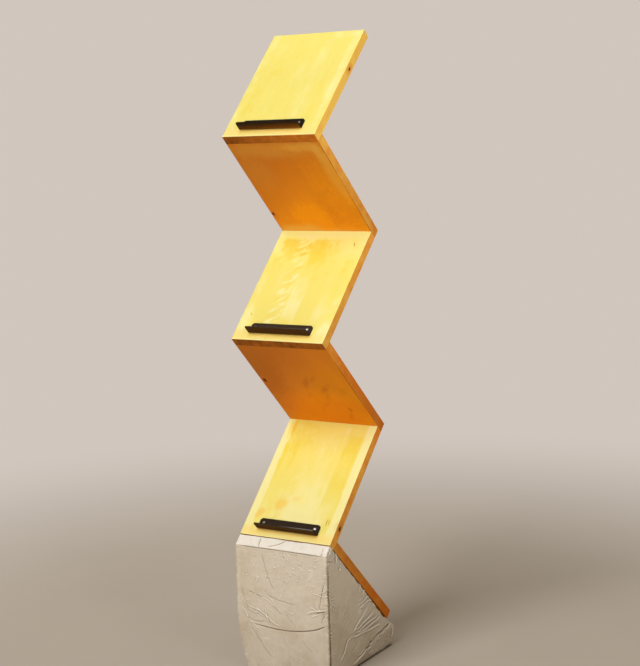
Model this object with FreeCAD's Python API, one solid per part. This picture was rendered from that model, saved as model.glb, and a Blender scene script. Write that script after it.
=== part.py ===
"""Zigzag bookshelf: six like boards joined square, three book ledges and a cast concrete base.

Millimetres. +Z is up, +Y is towards the rear, and +X is to the right of someone who faces the front.
The origin is on the floor, at the centre of the base's footprint.
"""

import FreeCAD
import Part

import math
import os

from FreeCAD import Placement, Rotation, Vector

# Boards
BOARD_WIDTH = 300.0
BOARD_LENGTH = 395.0
BOARD_THICKNESS = 28.0
SHELF_SLOPE = 45.0  # degrees that a shelf rises towards the rear
EASED_EDGE = 1.2  # radius along the boards' arrises
SHELF_NAMES = ("lower", "middle", "top")

# Dowels in the butt joints
DOWEL_DIAMETER = 10.0
DOWEL_COUNT = 5
DOWEL_EDGE = 30.0  # from a board's side to the first dowel's axis
DOWEL_COVER = 12.0  # wood left between a dowel's end and the far face
DOWEL_IN_END = 26.0  # depth of the holes in end grain
DOWEL_CLEARANCE = 0.1  # glue film round a dowel
DOWEL_END_GAP = 0.6  # glue pocket at each end of a dowel
DOWEL_CHAMFER = 1.0

# Book ledges, bent from sheet steel
LEDGE_LENGTH = 200.0
LEDGE_FLANGE = 34.0  # height of the flange against the shelf
LEDGE_LIP = 30.0  # how far the lip stands out from the shelf
LEDGE_SHEET = 3.0
LEDGE_BEND = 2.5  # inside radius of the bend
LEDGE_SETBACK = 22.5  # from a shelf's front edge to the lip's underside
FLANGE_CORNER = 9.0
LIP_CORNER = 5.0

# Screws that hold the ledges
SCREW_INSET = 15.0  # from a ledge's end to the screw's axis
SCREW_SHANK = 4.5
SCREW_COVER = 9.0  # wood left between a screw's point and the far face
SCREW_POINT = 5.0
SCREW_HEAD = 9.0
SCREW_HEAD_HEIGHT = 3.0
SCREW_HEAD_RIM = 0.9  # straight part of the head's side
SCREW_RECESS_WIDTH = 1.2
SCREW_RECESS_SPAN = 4.8
SCREW_RECESS_DEPTH = 1.6
SCREW_CLEARANCE = 0.25  # round the shank in the ledge
PILOT_CLEARANCE = 0.05  # round the shank in the wood
PILOT_SPARE = 1.0  # hole beyond the screw's point

# Concrete base
TOE_HEIGHT = 58.0  # upright rear face
TOE_LENGTH = 45.0  # slope that runs on past the foot board
NOSE_DEPTH = 22.0  # front face ahead of the lower shelf's front edge
NOSE_DROP = 26.0  # fall of the bevel from that edge to the front face
BASE_OVERHANG = 1.0  # concrete past each side of the boards
BASE_SIDE_ROUND = 4.0  # along the edges of both sides
APEX_ROUND = 4.0
NOSE_ROUND = 9.0
HEEL_ROUND = 6.0  # front edge on the floor
TOE_TOP_ROUND = 14.0
TOE_FLOOR_ROUND = 9.0

# Bolts that hold the foot board to the base
BOLT_DIAMETER = 10.0
BOLT_INSET = 50.0  # from a board's side to the bolt's axis
BOLT_FROM_END = 90.0  # from either end of the foot board
BOLT_HEAD_ACROSS = 17.0
BOLT_HEAD_HEIGHT = 6.4
BOLT_END_ROOM = 12.0  # empty bore past the bolt's end
BOLT_HOLE_CLEARANCE = 0.5
THREAD_CLEARANCE = 0.05
WASHER_DIAMETER = 30.0
WASHER_THICKNESS = 2.5
SOCKET_DIAMETER = 16.0
SOCKET_LENGTH = 60.0
SOCKET_FLOOR = 6.0  # closed end of the socket
SOCKET_FOOT_DIAMETER = 28.0  # flared end that keys into the concrete
SOCKET_FOOT_THICKNESS = 5.0

TOUCH = 0.0001  # closer than this, two places are the same
X_AXIS = Vector(1, 0, 0)
Y_AXIS = Vector(0, 1, 0)
Z_AXIS = Vector(0, 0, 1)

# The base carries the zigzag: its slope is as long as the foot board, the shelf above it and the toe
slope = math.radians(SHELF_SLOPE)
slope_length = BOARD_THICKNESS + BOARD_LENGTH + TOE_LENGTH
slope_run = slope_length * math.sin(slope)
slope_fall = slope_length * math.cos(slope)
apex_height = TOE_HEIGHT + slope_fall
apex_y = (NOSE_DEPTH - slope_run) / 2

# A ledge's screws stand in the middle of the flat part of its flange, and end short of the shelf's underside
screw_rise = LEDGE_SETBACK + (LEDGE_SHEET + LEDGE_BEND + LEDGE_FLANGE) / 2
screw_length = LEDGE_SHEET + BOARD_THICKNESS - SCREW_COVER

socket_depth = SOCKET_LENGTH - SOCKET_FLOOR

# In the zigzag's own frame, Y runs up the shelves and Z stands square on them, from the lower front edge
ZIGZAG = Placement(Vector(0, apex_y, apex_height), Rotation(X_AXIS, SHELF_SLOPE))
TURNED = Rotation(X_AXIS, 90)


def shelf_place(index):
    """Where a shelf board lies: its own Y runs up the slope and its book face is at its own Z = 0."""
    step = index * BOARD_LENGTH
    return ZIGZAG.multiply(Placement(Vector(0, step, step), Rotation()))


def return_place(index):
    """Where the board above a shelf lies: its own Y runs up and forward, its lower face is at Z = 0."""
    corner = Vector(0, (index + 1) * BOARD_LENGTH, index * BOARD_LENGTH - BOARD_THICKNESS)
    return ZIGZAG.multiply(Placement(corner, TURNED))


FOOT_PLACE = return_place(-1)


def placed(shape, place):
    """A copy of a shape, moved from its own frame to the part's frame."""
    moved = shape.copy()
    moved.Placement = place.multiply(shape.Placement)
    return moved


def cylinder(radius, start, end):
    """A solid cylinder from one point to another."""
    return Part.makeCylinder(radius, (end - start).Length, start, end - start)


def spread(count, edge):
    """Evenly spaced places across the boards' width."""
    span = BOARD_WIDTH - 2 * edge
    return [-span / 2 + span * i / (count - 1) for i in range(count)]


def rounded_prism(corners, width):
    """A prism along X through a YZ outline. Each corner is (y, z, radius), in order round the outline."""
    edges = []
    tips = [Vector(0, y, z) for y, z, _ in corners]
    runs = []
    for i, (_, _, radius) in enumerate(corners):
        before = (tips[i - 1] - tips[i]).normalize()
        after = (tips[(i + 1) % len(tips)] - tips[i]).normalize()
        if radius <= 0:
            runs.append((tips[i], tips[i], None))
            continue
        half = before.getAngle(after) / 2
        reach = radius / math.tan(half)
        bisector = (before + after).normalize()
        middle = tips[i] + bisector * (radius / math.sin(half) - radius)
        runs.append((tips[i] + before * reach, tips[i] + after * reach, middle))
    for i, (start, end, middle) in enumerate(runs):
        if middle is not None:
            edges.append(Part.Arc(start, middle, end).toShape())
        edges.append(Part.LineSegment(end, runs[(i + 1) % len(runs)][0]).toShape())
    face = Part.Face(Part.Wire(edges))
    face.translate(Vector(-width / 2, 0, 0))
    return face.extrude(Vector(width, 0, 0))


def dowel_holes(start, far):
    """Cutters for a row of dowel holes across a board, from the row's middle and along far."""
    radius = DOWEL_DIAMETER / 2 + DOWEL_CLEARANCE
    mouths = [start + X_AXIS * x for x in spread(DOWEL_COUNT, DOWEL_EDGE)]
    return [cylinder(radius, mouth, mouth + far) for mouth in mouths]


def board_blank(eased_far_end):
    """A board from its exposed end at Y = 0, with eased arrises. A far end that is glued stays sharp."""
    box = Part.makeBox(
        BOARD_WIDTH, BOARD_LENGTH, BOARD_THICKNESS, Vector(-BOARD_WIDTH / 2, 0, -BOARD_THICKNESS)
    )
    eased = [e for e in box.Edges if eased_far_end or e.BoundBox.YMin < BOARD_LENGTH / 2]
    return box.makeFillet(EASED_EDGE, eased)


def end_holes():
    """Dowel holes in a board's glued end."""
    middle = Vector(0, BOARD_LENGTH, -BOARD_THICKNESS / 2)
    return dowel_holes(middle, Y_AXIS * -DOWEL_IN_END)


def shelf_board(index):
    """A shelf: dowelled from below near its front edge, and at its top end where a board stands on it."""
    is_top = index == len(SHELF_NAMES) - 1
    under = Vector(0, BOARD_THICKNESS / 2, -BOARD_THICKNESS)
    cutters = dowel_holes(under, Z_AXIS * (BOARD_THICKNESS - DOWEL_COVER))
    cutters += [] if is_top else end_holes()
    pilot = Z_AXIS * (LEDGE_SHEET - screw_length - PILOT_SPARE)
    pilot_radius = SCREW_SHANK / 2 + PILOT_CLEARANCE
    cutters += [cylinder(pilot_radius, mouth, mouth + pilot) for mouth in screw_places()]
    return placed(board_blank(is_top).cut(cutters), shelf_place(index))


def return_board(index):
    """A board that leads from a shelf's rear end up to the front of the next shelf."""
    face = Vector(0, BOARD_THICKNESS / 2, 0)
    cutters = dowel_holes(face, Z_AXIS * (DOWEL_COVER - BOARD_THICKNESS))
    return placed(board_blank(False).cut(cutters + end_holes()), return_place(index))


def bolt_places():
    """Where the bolts cross the foot board's lower face."""
    across = BOARD_WIDTH / 2 - BOLT_INSET
    along = (BOLT_FROM_END, BOARD_LENGTH - BOLT_FROM_END)
    return [Vector(x, y, 0) for x in (-across, across) for y in along]


def foot_board():
    """The lowest board, which lies on the base and is bolted to it."""
    radius = BOLT_DIAMETER / 2 + BOLT_HOLE_CLEARANCE
    holes = [cylinder(radius, p - Z_AXIS * BOARD_THICKNESS, p) for p in bolt_places()]
    return placed(board_blank(False).cut(end_holes() + holes), FOOT_PLACE)


def joint_dowels():
    """A row of dowels from a board's glued end into the board that covers it, in the first board's frame."""
    middle = Vector(0, BOARD_LENGTH, -BOARD_THICKNESS / 2)
    start = middle - Y_AXIS * (DOWEL_IN_END - DOWEL_END_GAP)
    end = middle + Y_AXIS * (BOARD_THICKNESS - DOWEL_COVER - DOWEL_END_GAP)
    dowels = []
    for x in spread(DOWEL_COUNT, DOWEL_EDGE):
        pin = cylinder(DOWEL_DIAMETER / 2, start + X_AXIS * x, end + X_AXIS * x)
        rims = [e for e in pin.Edges if isinstance(e.Curve, Part.Circle)]
        dowels.append(pin.makeChamfer(DOWEL_CHAMFER, rims))
    return Part.makeCompound(dowels)


def rear_joint_dowels(index):
    """Dowels from a shelf's top end into the board that covers it."""
    return placed(joint_dowels(), shelf_place(index))


def front_joint_dowels(index):
    """Dowels from the top end of the board below a shelf into that shelf's underside."""
    return placed(joint_dowels(), return_place(index - 1))


def screw_places():
    """Where a ledge's screws go into the shelf's book face."""
    across = LEDGE_LENGTH / 2 - SCREW_INSET
    return [Vector(x, screw_rise, 0) for x in (-across, across)]


def ledge_corners(angle, along, rim):
    """The edges of a bent angle that lie at its ends and on a free rim, at that height along Y or Z."""
    half = LEDGE_LENGTH / 2 - TOUCH
    at_ends = [e for e in angle.Edges if e.BoundBox.XMin > half or e.BoundBox.XMax < -half]
    return [e for e in at_ends if e.CenterOfMass.dot(along) > rim - TOUCH]


def book_ledge(index):
    """A bent angle: its flange lies on the shelf and its lip stands square, to stop the books."""
    outside = LEDGE_BEND + LEDGE_SHEET
    foot, top = LEDGE_SETBACK, LEDGE_SETBACK + LEDGE_FLANGE
    angle = rounded_prism(
        [
            (foot, 0, outside),
            (top, 0, 0),
            (top, LEDGE_SHEET, 0),
            (foot + LEDGE_SHEET, LEDGE_SHEET, LEDGE_BEND),
            (foot + LEDGE_SHEET, LEDGE_LIP, 0),
            (foot, LEDGE_LIP, 0),
        ],
        LEDGE_LENGTH,
    )
    angle = angle.makeFillet(FLANGE_CORNER, ledge_corners(angle, Y_AXIS, top))
    angle = angle.makeFillet(LIP_CORNER, ledge_corners(angle, Z_AXIS, LEDGE_LIP))
    radius = SCREW_SHANK / 2 + SCREW_CLEARANCE
    holes = [cylinder(radius, mouth, mouth + Z_AXIS * LEDGE_SHEET) for mouth in screw_places()]
    return placed(angle.cut(holes), shelf_place(index))


def pan_head_screw():
    """A screw along -Z with its head's seat at Z = 0: a domed, cross-recessed head, a shank and a point."""
    head, shank = SCREW_HEAD / 2, SCREW_SHANK / 2
    neck = SCREW_POINT - screw_length
    crown = Vector(0, 0, SCREW_HEAD_HEIGHT)
    shoulder = Vector(head, 0, SCREW_HEAD_RIM)
    dome_rise = SCREW_HEAD_HEIGHT - SCREW_HEAD_RIM
    dome_radius = (head**2 + dome_rise**2) / (2 * dome_rise)
    half_turn = math.asin(head / dome_radius) / 2
    dome_centre = crown - Z_AXIS * dome_radius
    bulge = dome_centre + Vector(math.sin(half_turn), 0, math.cos(half_turn)) * dome_radius
    point = Vector(0, 0, -screw_length)
    corners = [point, Vector(shank, 0, neck), Vector(shank, 0, 0), Vector(head, 0, 0), shoulder]
    edges = [Part.LineSegment(a, b).toShape() for a, b in zip(corners, corners[1:])]
    edges.append(Part.Arc(shoulder, bulge, crown).toShape())
    edges.append(Part.LineSegment(crown, point).toShape())
    screw = Part.Face(Part.Wire(edges)).revolve(Vector(), Z_AXIS, 360)
    long, short = SCREW_RECESS_SPAN, SCREW_RECESS_WIDTH
    floor = SCREW_HEAD_HEIGHT - SCREW_RECESS_DEPTH
    slots = [
        Part.makeBox(a, b, SCREW_RECESS_DEPTH, Vector(-a / 2, -b / 2, floor))
        for a, b in ((long, short), (short, long))
    ]
    return screw.cut(slots)


def ledge_screws(index):
    """The two screws of one ledge."""
    screws = []
    for mouth in screw_places():
        screw = pan_head_screw()
        screw.translate(mouth + Z_AXIS * LEDGE_SHEET)
        screws.append(screw)
    return placed(Part.makeCompound(screws), shelf_place(index))


def anchor_socket_outside():
    """The room that one cast-in socket takes, along +Z from the foot board's lower face."""
    body = Part.makeCylinder(SOCKET_DIAMETER / 2, SOCKET_LENGTH)
    foot_start = Vector(0, 0, SOCKET_LENGTH - SOCKET_FOOT_THICKNESS)
    foot = Part.makeCylinder(SOCKET_FOOT_DIAMETER / 2, SOCKET_FOOT_THICKNESS, foot_start)
    return body.fuse(foot).removeSplitter()


def at_bolts(shape):
    """One copy of a shape at each bolt, moved to the part's frame."""
    copies = []
    for spot in bolt_places():
        copy = shape.copy()
        copy.translate(spot)
        copies.append(placed(copy, FOOT_PLACE))
    return copies


def anchor_sockets():
    """Threaded sockets cast into the base."""
    bore = Part.makeCylinder(BOLT_DIAMETER / 2 + THREAD_CLEARANCE, socket_depth)
    return Part.makeCompound(at_bolts(anchor_socket_outside().cut(bore)))


def base_washers():
    """Flat washers between the bolt heads and the foot board's upper face."""
    seat = Vector(0, 0, -BOARD_THICKNESS - WASHER_THICKNESS)
    ring = Part.makeCylinder(WASHER_DIAMETER / 2, WASHER_THICKNESS, seat)
    hole = Part.makeCylinder(BOLT_DIAMETER / 2 + BOLT_HOLE_CLEARANCE, WASHER_THICKNESS, seat)
    return Part.makeCompound(at_bolts(ring.cut(hole)))


def base_bolts():
    """Hexagon bolts through the foot board into the sockets."""
    under_head = -BOARD_THICKNESS - WASHER_THICKNESS
    end = socket_depth - BOLT_END_ROOM
    shank = Part.makeCylinder(BOLT_DIAMETER / 2, end - under_head, Vector(0, 0, under_head))
    corner = BOLT_HEAD_ACROSS / 2 / math.cos(math.pi / 6)
    head_top = under_head - BOLT_HEAD_HEIGHT
    turns = [math.pi / 3 * i for i in range(7)]
    rim = [Vector(corner * math.cos(turn), corner * math.sin(turn), head_top) for turn in turns]
    head = Part.Face(Part.makePolygon(rim)).extrude(Z_AXIS * BOLT_HEAD_HEIGHT)
    # The top corners of the head are turned off at thirty degrees
    fall = (corner - BOLT_HEAD_ACROSS / 2) * math.tan(math.pi / 6)
    rest = BOLT_HEAD_HEIGHT - fall
    turned = Part.makeCone(BOLT_HEAD_ACROSS / 2, corner, fall, Vector(0, 0, head_top))
    turned = turned.fuse(Part.makeCylinder(corner, rest, Vector(0, 0, head_top + fall)))
    return Part.makeCompound(at_bolts(shank.fuse(head.common(turned)).removeSplitter()))


def concrete_base():
    """A wedge with an upright front, a bevelled nose, a slope for the foot board and a low upright toe."""
    front, rear = apex_y - NOSE_DEPTH, apex_y + slope_run
    body = rounded_prism(
        [
            (front, 0, HEEL_ROUND),
            (front, apex_height - NOSE_DROP, NOSE_ROUND),
            (apex_y, apex_height, APEX_ROUND),
            (rear, TOE_HEIGHT, TOE_TOP_ROUND),
            (rear, 0, TOE_FLOOR_ROUND),
        ],
        BOARD_WIDTH + 2 * BASE_OVERHANG,
    )
    half = BOARD_WIDTH / 2 + BASE_OVERHANG
    rims = [e for e in body.Edges if e.BoundBox.XMin > half - TOUCH or e.BoundBox.XMax < TOUCH - half]
    return body.makeFillet(BASE_SIDE_ROUND, rims).cut(at_bolts(anchor_socket_outside()))


def write(name, shape):
    """Writes one node and prints what it holds."""
    sound = shape.isValid() and all(shell.isClosed() for shell in shape.Shells)
    state = "sound" if sound else "NOT SOUND"
    print(f"{name}: {len(shape.Solids)} solids, {shape.Volume / 1000:.2f} cm3, {state}")
    shape.exportStep(os.path.join("parts", name + ".step"))


def main():
    os.makedirs("parts", exist_ok=True)
    write("concrete_base", concrete_base())
    write("foot_board", foot_board())
    write("base_bolts", base_bolts())
    write("base_washers", base_washers())
    write("anchor_sockets", anchor_sockets())
    for index, name in enumerate(SHELF_NAMES):
        write(name + "_shelf_board", shelf_board(index))
        write(name + "_book_ledge", book_ledge(index))
        write(name + "_ledge_screws", ledge_screws(index))
        write(name + "_front_joint_dowels", front_joint_dowels(index))
    for index, name in enumerate(SHELF_NAMES[:-1]):
        write(name + "_return_board", return_board(index))
        write(name + "_rear_joint_dowels", rear_joint_dowels(index))


main()
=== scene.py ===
"""Finishes and stage for the zigzag bookshelf: lacquered boards, black ledges and a creased concrete base.

The file is laid out as an add-on and is run as a script. Lengths are in metres unless a comment says
that they are in millimetres.
"""

import math
import random
from collections import namedtuple

import bmesh
import bpy
import numpy as np
from bpy.props import FloatProperty, FloatVectorProperty, PointerProperty
from mathutils import Matrix, Vector, noise


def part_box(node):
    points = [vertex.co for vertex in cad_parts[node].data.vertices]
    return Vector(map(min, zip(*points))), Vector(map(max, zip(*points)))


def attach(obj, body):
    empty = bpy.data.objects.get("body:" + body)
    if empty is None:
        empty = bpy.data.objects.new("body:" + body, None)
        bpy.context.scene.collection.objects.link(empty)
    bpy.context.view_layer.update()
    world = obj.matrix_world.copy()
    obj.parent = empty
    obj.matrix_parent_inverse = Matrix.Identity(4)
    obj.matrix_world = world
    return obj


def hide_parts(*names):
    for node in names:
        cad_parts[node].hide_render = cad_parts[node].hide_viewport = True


bl_info = {
    "name": "Zigzag bookshelf finishes",
    "version": (1, 0, 0),
    "blender": (4, 5, 0),
    "location": "3D View > Sidebar > Bookshelf",
    "description": "Dresses the zigzag bookshelf in lacquered wood, black steel and creased concrete",
    "category": "Object",
}

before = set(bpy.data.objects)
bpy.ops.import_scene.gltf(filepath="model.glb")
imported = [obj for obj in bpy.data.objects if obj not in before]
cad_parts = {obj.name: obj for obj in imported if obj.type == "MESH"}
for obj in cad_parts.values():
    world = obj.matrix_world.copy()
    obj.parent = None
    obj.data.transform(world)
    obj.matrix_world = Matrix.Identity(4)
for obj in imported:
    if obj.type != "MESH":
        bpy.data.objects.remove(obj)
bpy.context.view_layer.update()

BODY = "root"
MM = 0.001
WELD = 1e-6
SLANT = math.sqrt(0.5)  # sine and cosine of the boards' 45 degree slope
REAR_UP = (0.0, SLANT, SLANT)
FRONT_UP = (0.0, -SLANT, SLANT)

# Boards. Rise is 1 for a shelf, which climbs to the rear, and -1 for a board that climbs to the front.
# Curl is the strength of the wavy figure, bands that of the paler strips along both sides, and honey the
# paleness of the sides, whose colour is painted shade, deepest on the boards near the floor. Rear is how far
# the upper face is painted paler and greener at its rear end, painted light that offsets the orange light
# reflected from the underside above. Face, side, under and end scale the colours of the faces, shade is
# painted shade on the upper left of the underside, and tilt makes the right-hand part of a cut end lighter
# than the left.
Board = namedtuple("Board", "node rise seed curl bands honey rear face side under shade end tilt")
BOARDS = (
    Board("foot_board", -1, 3, 0.0, 0.0, 0.1, 0.0, 1.0, 0.905, 0.85, 0.0, 0.8, 1.0),
    Board("lower_shelf_board", 1, 5, 0.2, 1.0, 0.43, 0.0, 1.02, 1.15, 0.9, 0.0, 0.8, 1.0),
    Board("lower_return_board", -1, 8, 0.0, 0.0, 0.06, 0.0, 1.0, 0.89, 1.0, 0.25, 0.8, 1.0),
    Board("middle_shelf_board", 1, 13, 1.0, 0.15, 0.52, 0.7, 0.955, 0.95, 0.95, 0.0, 0.66, 0.2),
    Board("middle_return_board", -1, 21, 0.0, 0.0, 0.35, 0.0, 1.0, 0.87, 1.01, 0.1, 0.8, 1.0),
    Board("top_shelf_board", 1, 34, 0.15, 0.2, 1.0, 0.0, 1.0, 1.03, 1.0, 0.0, 0.95, 2.4),
)

# Soft patches in each board's colour, in millimetres from its middle: across, along, half width, half length.
# Turn is in degrees. A positive amount is paler, or on an underside a painted glow of light, and a negative
# one is deeper.
Patch = namedtuple("Patch", "across along wide long turn amount")
PATCHES = {
    "lower_shelf_board": (
        Patch(94, 120, 24, 50, -3, -0.2),
        Patch(-75, 145, 62, 62, 0, -0.42),
        Patch(0, 190, 130, 22, 0, -0.15),
        Patch(-128, 160, 14, 45, 0, -1.0),
        Patch(100, 174, 60, 24, 0, 0.45),
        Patch(0, -178, 140, 24, 0, 0.6),
        Patch(20, -120, 70, 40, 0, 0.3),
        Patch(-100, 60, 25, 80, 0, -0.25),
        Patch(25, -60, 80, 100, 0, 0.4),
        Patch(22, 95, 40, 75, 0, 0.2),
        Patch(-70, -110, 60, 80, 0, 0.3),
        Patch(95, -110, 30, 60, 0, 0.35),
        Patch(135, -170, 25, 30, 0, 0.5),
        # Painted light: paler just uphill of the ledge, against its shade.
        Patch(40, -138, 70, 16, 0, 0.3),
        Patch(-58, -90, 20, 17, 30, -0.25),
        Patch(112, -131, 1.6, 17, 4, -3.2),
        Patch(118, -126, 1.3, 13, 8, -2.8),
    ),
    "middle_shelf_board": (
        Patch(0, 190, 170, 24, 0, 0.9),
        Patch(-45, 185, 30, 20, 0, 0.4),
        Patch(114, 149, 1.6, 11, 21, -3.2),
        Patch(-122, -108, 1.6, 8, 40, -2.6),
        Patch(-85, 142, 52, 50, 0, -0.38),
        Patch(0, 105, 180, 75, 0, -0.25),
        Patch(2, 130, 38, 55, 0, -0.3),
        Patch(0, -85, 30, 45, 0, 0.2),
        Patch(128, 0, 26, 130, 0, -0.42),
        Patch(95, -95, 45, 60, 0, 0.15),
        Patch(-132, -135, 28, 70, 0, 0.5),
        Patch(135, -165, 28, 45, 0, 0.6),
    ),
    "top_shelf_board": (
        Patch(-112, 0, 42, 150, 0, -0.3),
        Patch(-50, 70, 55, 55, 0, -0.12),
        Patch(-80, 175, 60, 25, 0, -0.25),
        Patch(126, 10, 28, 160, 0, 0.15),
        Patch(0, -165, 130, 26, 0, 0.35),
        Patch(100, 185, 50, 20, 0, 0.35),
        Patch(97, -60, 18, 110, 0, -0.25),
        Patch(54, -75, 26, 90, 0, 0.18),
        Patch(50, 95, 22, 60, -10, 0.15),
    ),
    "middle_return_board": (
        Patch(-15, -95, 55, 50, 15, 0.5),
        Patch(100, 0, 60, 140, 0, 0.2),
        Patch(0, -188, 170, 16, 0, 0.8),
        Patch(95, -75, 80, 100, 0, -0.3),
        Patch(140, 70, 14, 130, 0, 0.5),
        Patch(70, 175, 90, 13, 0, 0.5),
    ),
    "lower_return_board": (
        Patch(-115, 20, 60, 150, -10, -0.2),
        Patch(15, -75, 90, 60, 0, 0.35),
        Patch(5, 32, 9, 30, -26, -0.28),
        Patch(35, 52, 8, 24, -35, -0.22),
        Patch(52, 0, 11, 32, -42, -0.3),
        Patch(40, -47, 9, 38, -24, -0.42),
        Patch(5, -97, 9, 32, -27, -0.42),
        Patch(-15, -37, 8, 26, -42, -0.3),
        Patch(92, -92, 11, 18, -20, -0.38),
        Patch(85, -122, 9, 30, -20, -0.3),
        Patch(110, -2, 16, 22, 0, -0.15),
    ),
}

# Glued staves that stand out, in millimetres from a board's middle: both sides and both ends
Stave = namedtuple("Stave", "left right front rear amount")
STAVES = {
    "lower_shelf_board": (
        Stave(72, 119, -45, 195, -0.42),
        Stave(-124, -113, -50, 150, -0.25),
    ),
    "middle_shelf_board": (
        Stave(-70, -25, -135, 178, 0.12),
        Stave(-25, 150, 50, 180, -0.1),
        Stave(-22, 25, -128, 42, 0.4),
    ),
}

# Painted sheens of light on the undersides, laid out like the patches: ochre ones, and reddish ones with a
# negative amount. On a shelf they are orange stains on its upper face.
SHEENS_AND_STAINS = {
    "lower_shelf_board": (
        Patch(-57, -86, 34, 28, 30, 0.14),
        Patch(-58, -90, 19, 16, 30, 0.3),
        Patch(-17, -67, 16, 11, 20, 0.22),
        Patch(-114, -124, 13, 18, -30, 0.5),
    ),
    "middle_return_board": (
        Patch(-40, 172, 170, 40, 0, 0.45),
        Patch(100, 178, 70, 24, 0, 0.5),
        Patch(132, 150, 22, 55, 0, 0.5),
        Patch(138, 70, 24, 130, 0, 0.5),
        Patch(-85, -172, 90, 36, 0, 1.1),
        Patch(50, -180, 130, 22, 0, 0.8),
        Patch(-110, 90, 60, 80, 0, 0.2),
    ),
    "lower_return_board": (
        Patch(10, -105, 190, 95, 0, -0.75),
    ),
}

# Book ledges. Even is the painted brown reflection all over a lip, and foot the painted reflection that grows
# towards its foot. Sheen is a painted grey sheen on the flange, glint a painted highlight on the right part
# of the lip's edge, and the last two are how bright the left and the right screws are, painted light.
Ledge = namedtuple("Ledge", "name even foot sheen glint left_screw right_screw")
LEDGES = (
    Ledge("lower", 0.2, 0.0, 0.4, 0.24, 0.5, 1.5),
    Ledge("middle", 0.205, 0.0, 0.65, 0.04, 0.2, 1.3),
    Ledge("top", 0.03, 0.93, 0.0, 0.0, 0.5, 0.5),
)

# Pin knots, in millimetres from a board's middle: across, along, up from its mid-plane, radius.
Knot = namedtuple("Knot", "across along up radius")
KNOTS = {
    "top_shelf_board": Knot(150, 58, -1, 5.5),
    "lower_shelf_board": Knot(150, -136, -1, 7.5),
    "middle_return_board": Knot(-143, -95, -14, 6.0),
    "lower_return_board": Knot(-137, 29, -14, 8.0),
}

# Figure in the wood: its scale along the board as a share of that across it, and the noise that makes it.
# Blotches bend the patches of a shelf more than those of a return, whose patches crumble at their edges.
Figure = namedtuple("Figure", "along scale detail roughness distortion")
STREAKS = Figure(0.06, 42.0, 3.0, 0.55, 0.6)
FIBRES = Figure(0.025, 900.0, 2.0, 0.6, 0.0)
BLOTCH = Figure(0.6, 15.0, 4.0, 0.6, 0.3)
CLOUD = Figure(0.8, 38.0, 3.0, 0.6, 0.0)
CRUMBS = Figure(0.7, 105.0, 2.0, 0.6, 0.0)
SHELF_BLOTCH = 1.6
CRUMBLE = 1.9
PATCH_EDGE = (0.35, 1.25)

# Staves: their widths and the last one's start as shares of a board's width, and how each shifts the figure
STAVE_WIDTHS = (0.12, 0.26)
LAST_STAVE = 0.86
STAVE_SHIFT = 3.0
STAVE_EDGE = 0.0012
STAVE_FADE = 0.035

# The wavy figure, in a strip left of a board's middle and turned to its length
CURL_COS = 0.83
CURL_SIN = 0.56
CURL_WIDE = 22.0
CURL_LONG = 62.0
CURL_CENTRE = 0.047
CURL_EDGE = (0.014, 0.03)
CURL_DEPTH = 3.6

# Paleness of an upper face: its start, its rise in the bands along both sides, where these begin as shares of
# the board's width, and the ranges of paleness, or of its lack, over which each colour comes in
PALE_START = 0.024
BAND_DEPTH = 1.3
BAND_EDGE = (0.404, 0.43)
PALE_FIGURE = (0.02, 0.8)
DEEP_FIGURE = (0.02, 0.75)
STAINED_FIGURE = (0.7, 1.5)
SCRATCHED_FIGURE = (1.5, 3.2)

# Painted light and shade on a board, as the ranges over which each comes in or ends, in metres from its
# middle:
# the paler rear fade and strip, the light in the rear corner, the paler front strip, the highlight on the
# front arris, the shadow at the lip's foot, the glow on the underside and its shaded corner
REAR_LIGHT_FADE = (0.05, 0.16)
REAR_STRIP = (0.165, 0.19)
REAR_CORNER_LIGHT = (0.0, 0.19)
FRONT_STRIP = (0.155, 0.18)
FRONT_ARRIS_HIGHLIGHT = (0.19, 0.1955)
LIP_FRONT = (-0.19, -0.178)
LIP_REAR = (-0.17, -0.165)
LIP_ENDS = (0.094, 0.108)
GLOW = (-0.2, 0.22)
SHADED_CORNER = (-0.02, 0.2)

# How far a face has to be turned to count as an upper or lower one, or as a cut end
FACE_TURN = (0.3, 0.7)
END_TURN = (0.4, 0.8)

# Growth rings on the cut ends, in radians per metre from their centre, the dark arris along the sides of an
# underside, knots and lacquer
RING_CENTRE = (-0.03, -0.07)
RING_RATE = 1900.0
ARRIS_EDGE = (0.0008, 0.0026)
KNOT_SQUEEZE = 0.6
KNOT_CORE = 0.3
KNOT_HALO = 3.0
LACQUER_SHINE = 0.06
DOWEL_RELIEF = 0.0001

# Ledges and fixings: the lip's edge, the ends and the lip's foot in metres, where the painted highlight on
# the lip's edge begins as a share of half its length, and the roughness and the grain's scale of the metals
LEDGE_EDGE = (0.0135, 0.0165)
LEDGE_END = (0.0005, 0.004)
LEDGE_FOOT = (-0.012, 0.02)
LEDGE_TURN = (0.5, 0.9)
GLINT_RUN = (-0.3, 0.7)
PAINT_SHINE = 0.04
PAINT_RELIEF = 0.00008
METAL_RELIEF = 0.00004
SCREW_POLISH = (0.34, 900.0)
ZINC_POLISH = (0.4, 600.0)

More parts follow.
